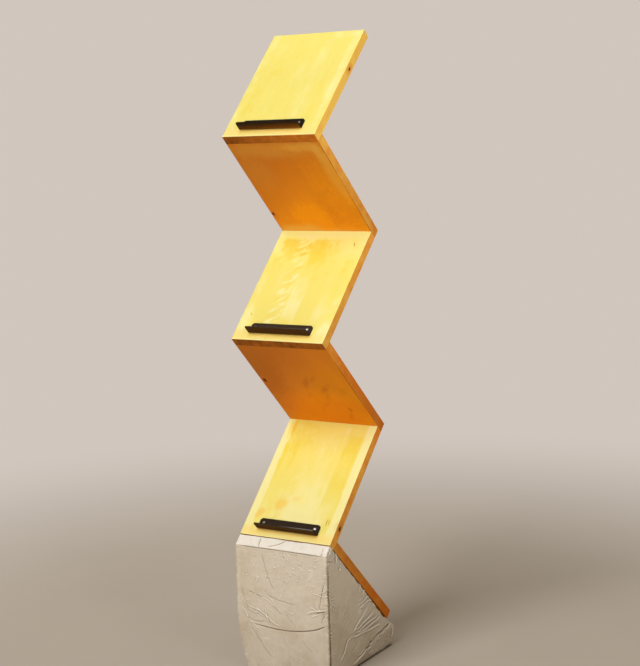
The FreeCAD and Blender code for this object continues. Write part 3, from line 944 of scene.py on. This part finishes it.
def board_material(board, look):
    """Lacquered birch for one board, with its grain along the board."""
    material, root = new_finish(board.node + "_wood")
    wood = BoardWood(board, look, root)
    # Each face takes its colour from the way it faces: painted light on the upper faces, painted shade on the
    # sides and undersides.
    colour = mix(wood.faces_up, wood.side(), wood.upper())
    colour = mix(wood.faces_down, colour, wood.lower())
    colour = mix(wood.faces_end, colour, wood.end())
    colour = scale_colour(colour, 1.0 + wood.fibres * 0.12)
    if board.node in KNOTS:
        knot = KNOTS[board.node]
        colour = mix(knot_cover(wood.local, knot, KNOT_HALO) * 0.45, colour, look.side_deep)
        colour = mix(knot_cover(wood.local, knot, 1.0), colour, look.knot)
    inward = wood.width / 2 - abs(wood.local[0])
    arris = (1 - inward.ramp(*ARRIS_EDGE)) * wood.faces_down
    colour = scale_colour(colour, 1 - arris * (wood.streaks + 0.5).ramp(0.35, 0.55) * 0.65)
    satin = look.roughness + wood.streaks * 0.18 + wood.faces_end * 0.2
    finish(root, wood.fibres, look.fibre_depth,
           {"Base Color": colour, "Roughness": satin, "Specular IOR Level": LACQUER_SHINE})
    return material


def dowel_material(look):
    """Plain beech with fine flecks along the dowel."""
    material, root = new_finish("dowel_beech")
    point = root.node("ShaderNodeTexCoord", output="Object")
    flecks = point.noise(700.0, 3.0, 0.6)
    cloud = point.noise(60.0, 2.0, 0.5)
    colour = scale_colour(look.dowel, 0.88 + flecks * 0.16 + cloud * 0.1)
    finish(root, flecks, DOWEL_RELIEF, {"Base Color": colour, "Roughness": 0.6 + (cloud - 0.5) * 0.2})
    return material


def ledge_material(ledge, look):
    """Satin black paint, rubbed along its edges; the lip's brown, the flange's sheen and the edge's glint are
    painted light.
    """
    node_name = ledge.name + "_book_ledge"
    material, root = new_finish(node_name + "_paint")
    low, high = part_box(node_name)
    half = (high.x - low.x) / 2
    across, along, up = local_axes(root, (low + high) / 2, ((1, 0, 0), REAR_UP, FRONT_UP))
    point = vector(across, along, up)
    facing = root.node("ShaderNodeNewGeometry", output="True Normal")
    lip = (0 - facing.dot(REAR_UP)).ramp(*LEDGE_TURN)
    flange = facing.dot(FRONT_UP).ramp(*LEDGE_TURN)
    peel = point.noise(1100.0, 2.0, 0.5)
    dust = point.noise(35.0, 4.0, 0.65)
    edge = up.ramp(*LEDGE_EDGE)
    ends = 1 - (half - abs(across)).ramp(*LEDGE_END)
    # Paint rubbed along the lip's edge and at the ends.
    rubbed_and_highlight = edge.math("MAXIMUM", edge, ends) * point.noise(160.0, 3.0, 0.7).ramp(0.48, 0.68)
    dusty = 0.6 + dust * 0.8
    foot = (1 - up.ramp(*LEDGE_FOOT)) * (across / half * 0.3 + 0.8)
    # A painted reflection: the lip turns brown all over and more so towards its foot.
    colour = mix(lip * (ledge.even + foot * ledge.foot) * dusty, look.paint, look.lip)
    # A painted grey sheen on the flange.
    colour = mix(flange * dusty * ledge.sheen, colour, look.wear_and_sheen)
    # A painted highlight along the right part of the lip's edge, in the screws' colour.
    edge_glint = edge * flange * (across / half).ramp(*GLINT_RUN) * (0.5 + dust)
    colour = mix(edge_glint * ledge.glint, colour, look.screw)
    colour = mix(rubbed_and_highlight * 0.6 + dust.ramp(0.5, 0.85) * 0.1, colour, look.wear_and_sheen)
    satin = look.paint_roughness + (dust - 0.5) * 0.25 - rubbed_and_highlight * 0.06
    finish(root, peel, PAINT_RELIEF,
           {"Base Color": colour, "Roughness": satin, "Specular IOR Level": PAINT_SHINE})
    return material


def metal_material(name, colour, roughness, grain_scale, left=1.0, right=1.0):
    """Bare or plated metal with a fine uneven polish; its brightness on the left and on the right is painted
    light.
    """
    material, root = new_finish(name)
    point = root.node("ShaderNodeTexCoord", output="Object")
    grain = point.noise(grain_scale, 3.0, 0.6)
    cloud = point.noise(220.0, 2.0, 0.5)
    # Painted light: as bright on each side as left and right say.
    painted_brightness = left + point.dot((1, 0, 0)).ramp(-0.01, 0.01) * (right - left)
    shade = scale_colour(colour, (0.82 + cloud * 0.36) * painted_brightness)
    finish(root, grain, METAL_RELIEF,
           {"Base Color": shade, "Metallic": 1.0, "Roughness": roughness + (cloud - 0.5) * 0.3})
    return material


def open_pores(point):
    """1 in the small open pores of the concrete, which differ in size."""
    gaps = point.node("ShaderNodeTexVoronoi", {}, {"Vector": point, "Scale": PORE_SCALE}, "Distance")
    return 1 - (gaps + (0.62 - point.noise(120.0, 2.0, 0.5)) * 0.9).ramp(*PORE_EDGE)


def hairlines(point):
    """1 on a bent net of hairline wrinkles, which shows only in places."""
    warp = point.node("ShaderNodeTexNoise", {}, {"Vector": point, "Scale": 9.0, "Detail": 2.0}, "Color")
    bent = point.node("ShaderNodeVectorMath", {"operation": "MULTIPLY_ADD"},
                      {0: warp, 1: (HAIR_WARP, HAIR_WARP, HAIR_WARP), 2: point})
    cells = point.node("ShaderNodeTexVoronoi", {"feature": "DISTANCE_TO_EDGE"},
                       {"Vector": bent, "Scale": HAIR_SCALE}, "Distance")
    return (1 - cells.ramp(*HAIR_EDGE)) * point.noise(16.0, 2.0, 0.5).ramp(0.47, 0.62)


def concrete_material(look):
    """Pale cast concrete with yellow patches, open pores and hairlines, and painted shade and highlights from
    its form.
    """
    material, root = new_finish("cast_concrete")
    point = root.node("ShaderNodeTexCoord", output="Object")
    height = point.dot((0, 0, 1))
    grime = root.node("ShaderNodeAttribute", {"attribute_name": "grime"}, {}, "Fac")
    patches = point.noise(11.0, 4.0, 0.6, 0.4)
    mottle = point.noise(70.0, 4.0, 0.65)
    sand = point.noise(900.0, 3.0, 0.7)
    pores = open_pores(point)
    hair = hairlines(point)
    colour = mix(patches.ramp(0.46, 0.72) * 0.7, look.cement, look.stain)
    # Painted shade, darker towards the floor.
    floor_shade = (1 - height.ramp(*FLOOR_SHADE_RISE)) * (0.75 + (patches - 0.5) * 0.8)
    colour = scale_colour(colour, 1.0 + (mottle - 0.5) * 0.2 + (sand - 0.5) * 0.14 - floor_shade * 0.24)
    # The painted shading darkens and pales the cement, and the pores and hairlines add their own marks.
    colour = mix(grime.ramp(0.0, 1.0) * (0.8 + (mottle - 0.5)) + pores * 0.4, colour, look.dust_and_shade)
    colour = mix((0 - grime).ramp(0.0, 0.9) * 0.95 + hair * 0.4, colour, look.rubbed_and_highlight)
    # A painted contact shadow along the foot.
    colour = scale_colour(colour, FOOT_SHADE + height.ramp(*FOOT_LINE) * (1 - FOOT_SHADE))
    finish(root, sand * 0.5 + mottle * 0.8 - pores * 1.6 + hair, CONCRETE_RELIEF,
           {"Base Color": colour, "Roughness": 0.86 + (mottle - 0.5) * 0.2, "Specular IOR Level": 0.2})
    return material


def soft_step(low, high, value):
    """A smooth step over an array, 0 at low and 1 at high."""
    share = np.clip((value - low) / (high - low), 0.0, 1.0)
    return share * share * (3.0 - 2.0 * share)


def hill(distance, reach):
    """1 at no distance, falling off softly over a reach."""
    return np.exp(-(distance / reach) ** 2)


def sine_waves(along, waves):
    """Sine waves added up, each a height, a rate in radians per millimetre and a start."""
    return sum(height * np.sin(along * rate + start) for height, rate, start in waves)


def curve_through(points, steps=6):
    """A smooth curve through a few points."""
    p = np.array(points, float)
    padded = np.vstack((2 * p[0] - p[1], p, 2 * p[-1] - p[-2]))
    t = np.linspace(0.0, 1.0, steps, endpoint=False)[:, None]
    spans = []
    for a, b, c, d in zip(padded, padded[1:], padded[2:], padded[3:]):
        bend = 2 * a - 5 * b + 4 * c - d
        twist = 3 * (b - c) + d - a
        spans.append(b + 0.5 * t * (c - a + t * (bend + t * twist)))
    return np.vstack(spans + [p[-1:]])


def line_field(places, points):
    """For each place on a face: its distance to a curve, its side of it, and its share along the curve."""
    line = curve_through(points)
    steps = np.diff(line, axis=0)
    lengths = np.linalg.norm(steps, axis=1)
    starts = np.concatenate(([0.0], np.cumsum(lengths)))
    best = np.full(len(places), np.inf)
    side = np.zeros(len(places))
    share = np.zeros(len(places))
    for start, step, length, before in zip(line, steps, lengths, starts):
        offset = places - start
        t = np.clip(offset @ step / length ** 2, 0.0, 1.0)
        gap = np.linalg.norm(offset - t[:, None] * step, axis=1)
        nearer = gap < best
        best[nearer] = gap[nearer]
        side[nearer] = np.sign(step[0] * offset[nearer, 1] - step[1] * offset[nearer, 0])
        share[nearer] = (before + t[nearer] * length) / starts[-1]
    return best, side, share


def fine_wrinkles(zone):
    """Short creases scattered over one zone; a negative depth makes all of them ridges."""
    draw = random.Random(zone.seed)
    found = []
    for _ in range(zone.count):
        x, y = draw.uniform(zone.left, zone.right), draw.uniform(zone.low, zone.high)
        turn = math.radians(zone.turn + draw.uniform(-zone.spread, zone.spread))
        step = zone.long / WRINKLE_SPANS * draw.uniform(*WRINKLE_LENGTHS)
        points = [(x, y)]
        for _ in range(WRINKLE_SPANS):
            turn += draw.uniform(-WRINKLE_BEND, WRINKLE_BEND)
            x += step * math.cos(turn)
            y += step * math.sin(turn)
            points.append((x, y))
        depth = zone.depth * draw.uniform(*WRINKLE_DEPTHS)
        if zone.depth > 0 and draw.random() < RIDGE_SHARE:
            depth = -depth
        found.append(Crease(depth, zone.width, draw.uniform(-WRINKLE_STEP, WRINKLE_STEP), tuple(points)))
    return found


def all_creases():
    """Each crease with its face: first those that have their own place, then the fine wrinkles."""
    placed = [(face, crease) for face, group in CREASES.items() for crease in group]
    zones = [(face, zone) for face, group in ZONES.items() for zone in group]
    return placed + [(face, wrinkle) for face, zone in zones for wrinkle in fine_wrinkles(zone)]


def even_mesh(node_name, piece_name, cell):
    """A copy of a CAD node as a closed mesh of small, even squares."""
    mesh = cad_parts[node_name].data.copy()
    shell = bmesh.new()
    shell.from_mesh(mesh)
    bmesh.ops.remove_doubles(shell, verts=shell.verts, dist=WELD)
    shell.to_mesh(mesh)
    shell.free()
    piece = bpy.data.objects.new(piece_name, mesh)
    bpy.context.scene.collection.objects.link(piece)
    remesh = piece.modifiers.new("even squares", "REMESH")
    remesh.mode = "VOXEL"
    remesh.voxel_size = cell
    relax = piece.modifiers.new("relax", "SMOOTH")
    relax.factor = 0.5
    relax.iterations = 3
    bpy.context.view_layer.update()
    evaluated = piece.evaluated_get(bpy.context.evaluated_depsgraph_get())
    piece.data = bpy.data.meshes.new_from_object(evaluated)
    piece.modifiers.clear()
    bpy.data.meshes.remove(mesh)
    piece.data.name = piece_name
    return piece


def read_vectors(items, name):
    """One vector property of a mesh's items as an array of rows."""
    flat = np.empty(len(items) * 3)
    items.foreach_get(name, flat)
    return flat.reshape(-1, 3)


class CastSurface:
    """The vertices of the base in millimetres, laid out on its faces."""

    def __init__(self, mesh):
        low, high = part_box("concrete_base")
        self.places = read_vectors(mesh.vertices, "co") / MM
        self.normals = read_vectors(mesh.vertex_normals, "vector")
        x, y, z = self.places.T
        self.front = low.y / MM
        self.apex = high.z / MM
        self.half = high.x / MM
        nose = np.array((NOSE_DEPTH, NOSE_DROP))
        climb = nose / np.linalg.norm(nose)
        up_nose = (y - self.front) * climb[0] + (z - self.apex + NOSE_DROP) * climb[1]
        layout = {
            "front": ((0, -1, 0), (x, z)),
            "nose": ((0, -climb[1], climb[0]), (x, up_nose)),
            "right": ((1, 0, 0), (y, z)),
            "left": ((-1, 0, 0), (-y, z)),
            "rear": ((0, 1, 0), (-x, z)),
        }
        self.on_face = {name: np.column_stack(pair) for name, (_, pair) in layout.items()}
        self.facing = {name: soft_step(*CAST_TURN, self.normals @ np.array(axis))
                       for name, (axis, _) in layout.items()}
        self.below_seam = np.clip(SEAM_HEIGHT - SEAM_FALL * (SEAM_END - y) - z, 0.0, None)
        self.foot = np.exp(-np.clip(z, 0, None) / FOOT_REACH)

    def around(self, face, crease, reach):
        """The vertices near a crease, with their distance to it, side of it and share along it."""
        places = self.on_face[face]
        points = np.array(crease.points)
        boxed = np.all((places > points.min(0) - reach) & (places < points.max(0) + reach), axis=1)
        picked = np.flatnonzero(boxed & (self.facing[face] > 0.0))
        return picked, *line_field(places[picked], crease.points)


def refine_creases(mesh, creases):
    """Splits the squares around each crease in four, so that its edges come out sharp."""
    surface = CastSurface(mesh)
    near = np.zeros(len(surface.places), bool)
    for face, crease in creases:
        picked, gap, _, _ = surface.around(face, crease, FINE_REACH)
        near[picked[gap < FINE_REACH]] = True
    shell = bmesh.new()
    shell.from_mesh(mesh)
    edges = [edge for edge in shell.edges if all(near[corner.index] for corner in edge.verts)]
    bmesh.ops.subdivide_edges(shell, edges=edges, cuts=1, use_grid_fill=True)
    shell.to_mesh(mesh)
    shell.free()


def press_creases(surface, creases):
    """How far creases and pits push each vertex out, and their painted shade and highlights: dark above 0,
    pale below 0.
    """
    push = np.zeros(len(surface.places))
    mark = np.zeros(len(surface.places))
    for face, crease in creases:
        picked, gap, side, share = surface.around(face, crease, STEP_REACH)
        width = crease.width
        ends = soft_step(0.0, CREASE_TAPER, share) * soft_step(0.0, CREASE_TAPER, 1.0 - share)
        fade = surface.facing[face][picked] * (BLUNT_END + (1.0 - BLUNT_END) * ends) * (gap < STEP_REACH)
        line = hill(gap, width)
        shelf = side * np.tanh(gap / width) * np.exp(-gap / STEP_FADE)
        push[picked] += fade * (crease.step * 0.5 * shelf - crease.depth * line)
        # Painted shadow in a groove with a painted highlight on one lip, and a painted highlight on a ridge
        # with painted shadow along both sides.
        lip = hill(gap - 2.0 * width, width)
        if crease.depth > 0:
            stroke = min(1.0, crease.depth / DARK_GROOVE) * (line - GROOVE_LIP * lip * (side > 0))
        else:
            stroke = min(1.0, -crease.depth / PALE_RIDGE) * (RIDGE_LIP * lip - line)
        mark[picked] += fade * stroke
    for face, pits in PITS.items():
        for pit in pits:
            gap = np.linalg.norm(surface.on_face[face] - (pit.across, pit.up), axis=1)
            bowl = surface.facing[face] * hill(gap, PIT_CORE * pit.radius)
            push -= pit.depth * bowl
            # Painted shade in a pit, and a painted highlight on a pimple.
            mark += bowl * (min(1.0, pit.depth / DARK_PIT) if pit.depth > 0 else PIMPLE_MARK)
    return push, np.clip(mark, -1.0, 1.0)


def swell(surface):
    """How far bulges, the seam's tuck, uneven front arrises and the toe's lump push each vertex out."""
    x, y, z = surface.places.T
    rough = np.array([noise.fractal(Vector(place) * BULGE_RATE, *BULGE_NOISE) for place in surface.places])
    push = BULGE_HEIGHT * rough * (1.0 - soft_step(*UNDERSIDE_TURN, -surface.normals[:, 2]))
    push -= SEAM_TUCK * surface.facing["right"] * surface.below_seam
    wobble = sine_waves(z, ((1.0, 0.19, 1.0), (0.7, 0.41, x * 0.1), (0.5, 0.83, 2.0)))
    push += ARRIS_WOBBLE * wobble * hill(np.hypot(np.abs(x) - surface.half, y - surface.front), ARRIS_REACH)
    return push + LUMP_HEIGHT * hill(np.hypot(y - LUMP_PLACE[0], z - LUMP_PLACE[1]), LUMP_REACH)


def paint_shading(surface, mark):
    """How much darker each vertex is painted, up to 1, or paler, down to -1: painted shade and highlights,
    with those of the creases.
    """
    x, y, z = surface.places.T
    facing = surface.facing
    flanks = facing["right"] + facing["left"] + facing["rear"]
    # Painted shade on the flanks.
    grime = (FLANK_SHADE + FLANK_GAIN * soft_step(*FLANK_RISE, z)) * flanks
    # Darker below the seam on the right flank.
    grime += SEAM_DARKENING * facing["right"] * soft_step(*SEAM_SOFT, surface.below_seam)
    # Painted light on the nose, which faces up, and a painted highlight near the top of the front right
    # corner.
    on_nose = soft_step(*NOSE_TURN, surface.normals[:, 2]) * soft_step(*NOSE_RISE, z - surface.apex)
    grime -= NOSE_PALE * on_nose
    grime -= CORNER_PALE * facing["front"] * soft_step(*CORNER_RISE, z) * hill(x - CORNER_PLACE, CORNER_REACH)
    grime = grime * (1.0 - np.abs(mark)) + mark
    arris = hill(np.hypot(x - surface.half, y - surface.front), DARK_ARRIS_REACH)
    arris *= 1.0 - soft_step(*DARK_ARRIS_TOP, z)
    grime += (DARK_ARRIS + DARK_ARRIS_FOOT * (1.0 - soft_step(*DARK_ARRIS_RISE, z))) * arris
    # Painted shadow in the joint under the foot board.
    under_board = (surface.normals @ REAR_UP > SLOPE_TURN) & (y < BOARD_END)
    grime[under_board] = 1.0
    # A painted contact shadow where the base stands on the floor.
    return np.clip(grime + FOOT_SHADOW * surface.foot, -1.0, 1.0)


def settle(surface, moved):
    """Tucks in the left flank and the foot, and cuts the slope back to a scalloped joint under the board."""
    x, y, z = surface.places.T
    lean = surface.normals[:, 2]
    moved[:, 0] += np.interp(z, LEFT_HEIGHTS, LEFT_INSETS) * soft_step(LEFT_START, -surface.half, x)
    moved[:, :2] -= surface.normals[:, :2] * (FOOT_TUCK * surface.foot)[:, None]
    slope = (moved[:, 1] + moved[:, 2] - surface.apex - surface.front - NOSE_DEPTH) * SLANT
    opening = JOINT_OPENING + sine_waves(y, JOINT_WAVES) + JOINT_WIDENING * soft_step(*JOINT_RUN, y)
    gap = JOINT_GAP + np.clip(opening, 0.0, None) * soft_step(*JOINT_SIDES, np.abs(x))
    beside = soft_step(*JOINT_START, y) * (y < BOARD_END)
    over = np.clip(slope + gap, 0.0, None) * beside * (lean > UNDERSIDE_LEAN)
    moved -= over[:, None] * REAR_UP
    flat = (lean < FLAT_LEAN) & (z < FOOT_REACH)
    moved[:, 2] = np.where(flat, 0.0, np.clip(moved[:, 2], 0.0, None))


def crease_concrete(mesh, creases, depth_scale):
    """Moves the base's vertices into creases, pits and soft bulges, and keeps the painted shading as an
    attribute.
    """
    surface = CastSurface(mesh)
    push, mark = press_creases(surface, creases)
    push += swell(surface)
    moved = surface.places + surface.normals * push[:, None] * depth_scale
    settle(surface, moved)
    mesh.vertices.foreach_set("co", (moved * MM).ravel())
    stored = mesh.attributes.new("grime", "FLOAT", "POINT")
    stored.data.foreach_set("value", paint_shading(surface, mark))
    mesh.shade_smooth()
    mesh.update()


class BookshelfStep:
    """What the operators share: their options and the settings."""

    bl_options = {"REGISTER", "UNDO"}

    def settings(self, context):
        return context.scene.bookshelf


class BOOKSHELF_OT_boards(BookshelfStep, bpy.types.Operator):
    """Finish the six boards in lacquered wood"""

    bl_idname = "bookshelf.boards"
    bl_label = "Boards"

    def execute(self, context):
        for board in BOARDS:
            dress(board.node, board_material(board, self.settings(context).boards))
        return {"FINISHED"}


class BOOKSHELF_OT_dowels(BookshelfStep, bpy.types.Operator):
    """Finish the dowels inside the joints"""

    bl_idname = "bookshelf.dowels"
    bl_label = "Dowels"

    def execute(self, context):
        beech = dowel_material(self.settings(context).boards)
        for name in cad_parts:
            if name.endswith("_dowels"):
                dress(name, beech)
        return {"FINISHED"}


class BOOKSHELF_OT_ledges(BookshelfStep, bpy.types.Operator):
    """Paint the three book ledges black"""

    bl_idname = "bookshelf.ledges"
    bl_label = "Book ledges"

    def execute(self, context):
        for ledge in LEDGES:
            dress(ledge.name + "_book_ledge", ledge_material(ledge, self.settings(context).steel))
        return {"FINISHED"}


class BOOKSHELF_OT_fixings(BookshelfStep, bpy.types.Operator):
    """Finish the screws, bolts, washers and sockets"""

    bl_idname = "bookshelf.fixings"
    bl_label = "Screws and bolts"

    def execute(self, context):
        look = self.settings(context).steel
        for ledge in LEDGES:
            name = ledge.name + "_ledge_screws"
            dress(name, metal_material(name, look.screw, *SCREW_POLISH, ledge.left_screw, ledge.right_screw))
        plated = metal_material("zinc_plate", look.zinc, *ZINC_POLISH)
        for name in ("base_bolts", "base_washers", "anchor_sockets"):
            dress(name, plated)
        return {"FINISHED"}


class BOOKSHELF_OT_concrete(BookshelfStep, bpy.types.Operator):
    """Cast the creased concrete base"""

    bl_idname = "bookshelf.concrete"
    bl_label = "Concrete base"

    def execute(self, context):
        look = self.settings(context).concrete
        piece = even_mesh("concrete_base", "creased_base", look.cell)
        if len(piece.data.vertices) == 0:
            raise RuntimeError("the concrete base came out empty")
        creases = all_creases()
        refine_creases(piece.data, creases)
        crease_concrete(piece.data, creases, look.crease_depth)
        piece.data.materials.clear()
        piece.data.materials.append(concrete_material(look))
        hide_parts("concrete_base")
        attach(piece, BODY)
        return {"FINISHED"}


class BOOKSHELF_OT_stage(BookshelfStep, bpy.types.Operator):
    """Set up the floor, the lamps and the camera"""

    bl_idname = "bookshelf.stage"
    bl_label = "Stage"

    def execute(self, context):
        look = self.settings(context).stage
        lay_floor(look)
        light_room(context.scene, look)
        place_camera(context.scene)
        context.scene.view_settings.view_transform = "Standard"
        return {"FINISHED"}


def backdrop_colour(root, look):
    """The pale backdrop as the camera and reflections see it, and the room's light for all else."""
    seen = root.node("ShaderNodeLightPath", output="Is Camera Ray")
    for ray in ("Is Glossy Ray", "Is Transmission Ray"):
        seen = seen.math("MAXIMUM", seen, root.node("ShaderNodeLightPath", output=ray))
    return mix(seen, look.ambient, look.backdrop)


def lay_floor(look):
    """A wide pale floor that fades into the backdrop."""
    mesh = bpy.data.meshes.new("studio_floor")
    disc = bmesh.new()
    bmesh.ops.create_circle(disc, cap_ends=True, segments=FLOOR_SIDES, radius=FLOOR_RADIUS)
    disc.to_mesh(mesh)
    disc.free()
    floor = bpy.data.objects.new("studio_floor", mesh)
    bpy.context.scene.collection.objects.link(floor)
    material, root = new_finish("studio_floor")
    point = root.node("ShaderNodeTexCoord", output="Object")
    colour = scale_colour(look.floor, 0.97 + point.noise(3.0, 3.0) * 0.06)
    near = root.node("ShaderNodeBsdfDiffuse", {}, {"Color": colour})
    far = root.node("ShaderNodeEmission", {}, {"Color": backdrop_colour(root, look)})
    surface = root.node("ShaderNodeMixShader", {}, {0: point.length().ramp(*FLOOR_FADE), 1: near, 2: far})
    root.node("ShaderNodeOutputMaterial", {}, {"Surface": surface})
    mesh.materials.append(material)


def light_room(scene, look):
    """Even light from all round, a large softbox above the front, and small ones on the right and low."""
    world = bpy.data.worlds.new("studio")
    world.use_nodes = True
    world.node_tree.nodes.clear()
    root = Shade(world.node_tree)
    surface = root.node("ShaderNodeBackground", {}, {"Color": backdrop_colour(root, look)})
    root.node("ShaderNodeOutputWorld", {}, {"Surface": surface})
    scene.world = world
    for box in SOFTBOXES:
        add_softbox(box, getattr(look, box.name))


def add_softbox(box, power):
    """A square area lamp that looks at a point and isn't seen itself."""
    name = box.name + "_softbox"
    lamp = bpy.data.lights.new(name, "AREA")
    lamp.shape = "SQUARE"
    lamp.size = box.size
    lamp.spread = box.spread
    lamp.energy = power
    stand = bpy.data.objects.new(name, lamp)
    stand.location = box.place
    stand.visible_camera = False
    stand.visible_glossy = box.size > SMALL_SOFTBOX
    stand.rotation_euler = (Vector(box.aim) - Vector(box.place)).to_track_quat("-Z", "Y").to_euler()
    bpy.context.scene.collection.objects.link(stand)


def place_camera(scene):
    """The camera where the photograph was taken from."""
    data = bpy.data.cameras.new("camera")
    data.lens = CAMERA_LENS
    data.sensor_width = CAMERA_SENSOR
    camera = bpy.data.objects.new("camera", data)
    turn = Matrix.Rotation(-CAMERA_YAW, 4, "Z")
    turn @= Matrix.Rotation(math.pi / 2 + CAMERA_PITCH, 4, "X")
    turn @= Matrix.Rotation(CAMERA_ROLL, 4, "Z")
    camera.matrix_world = Matrix.Translation(CAMERA_PLACE) @ turn
    scene.collection.objects.link(camera)
    scene.camera = camera


class BOOKSHELF_PT_finishes(bpy.types.Panel):
    """Lists the steps that dress the bookshelf"""

    bl_idname = "BOOKSHELF_PT_finishes"
    bl_label = "Bookshelf"
    bl_space_type = "VIEW_3D"
    bl_region_type = "UI"
    bl_category = "Bookshelf"

    def draw(self, context):
        for step in STEPS:
            self.layout.operator(step.bl_idname)


STEPS = (
    BOOKSHELF_OT_boards,
    BOOKSHELF_OT_dowels,
    BOOKSHELF_OT_ledges,
    BOOKSHELF_OT_fixings,
    BOOKSHELF_OT_concrete,
    BOOKSHELF_OT_stage,
)
GROUPS = (BoardSettings, SteelSettings, ConcreteSettings, StageSettings, BookshelfSettings)
CLASSES = (*GROUPS, *STEPS, BOOKSHELF_PT_finishes)


def register():
    for cls in CLASSES:
        bpy.utils.register_class(cls)
    bpy.types.Scene.bookshelf = PointerProperty(type=BookshelfSettings)


def unregister():
    del bpy.types.Scene.bookshelf
    for cls in reversed(CLASSES):
        bpy.utils.unregister_class(cls)


def main():
    """Dresses the bookshelf."""
    register()
    for step in STEPS:
        group, name = step.bl_idname.split(".")
        getattr(getattr(bpy.ops, group), name)()


if __name__ == "__main__":
    main()
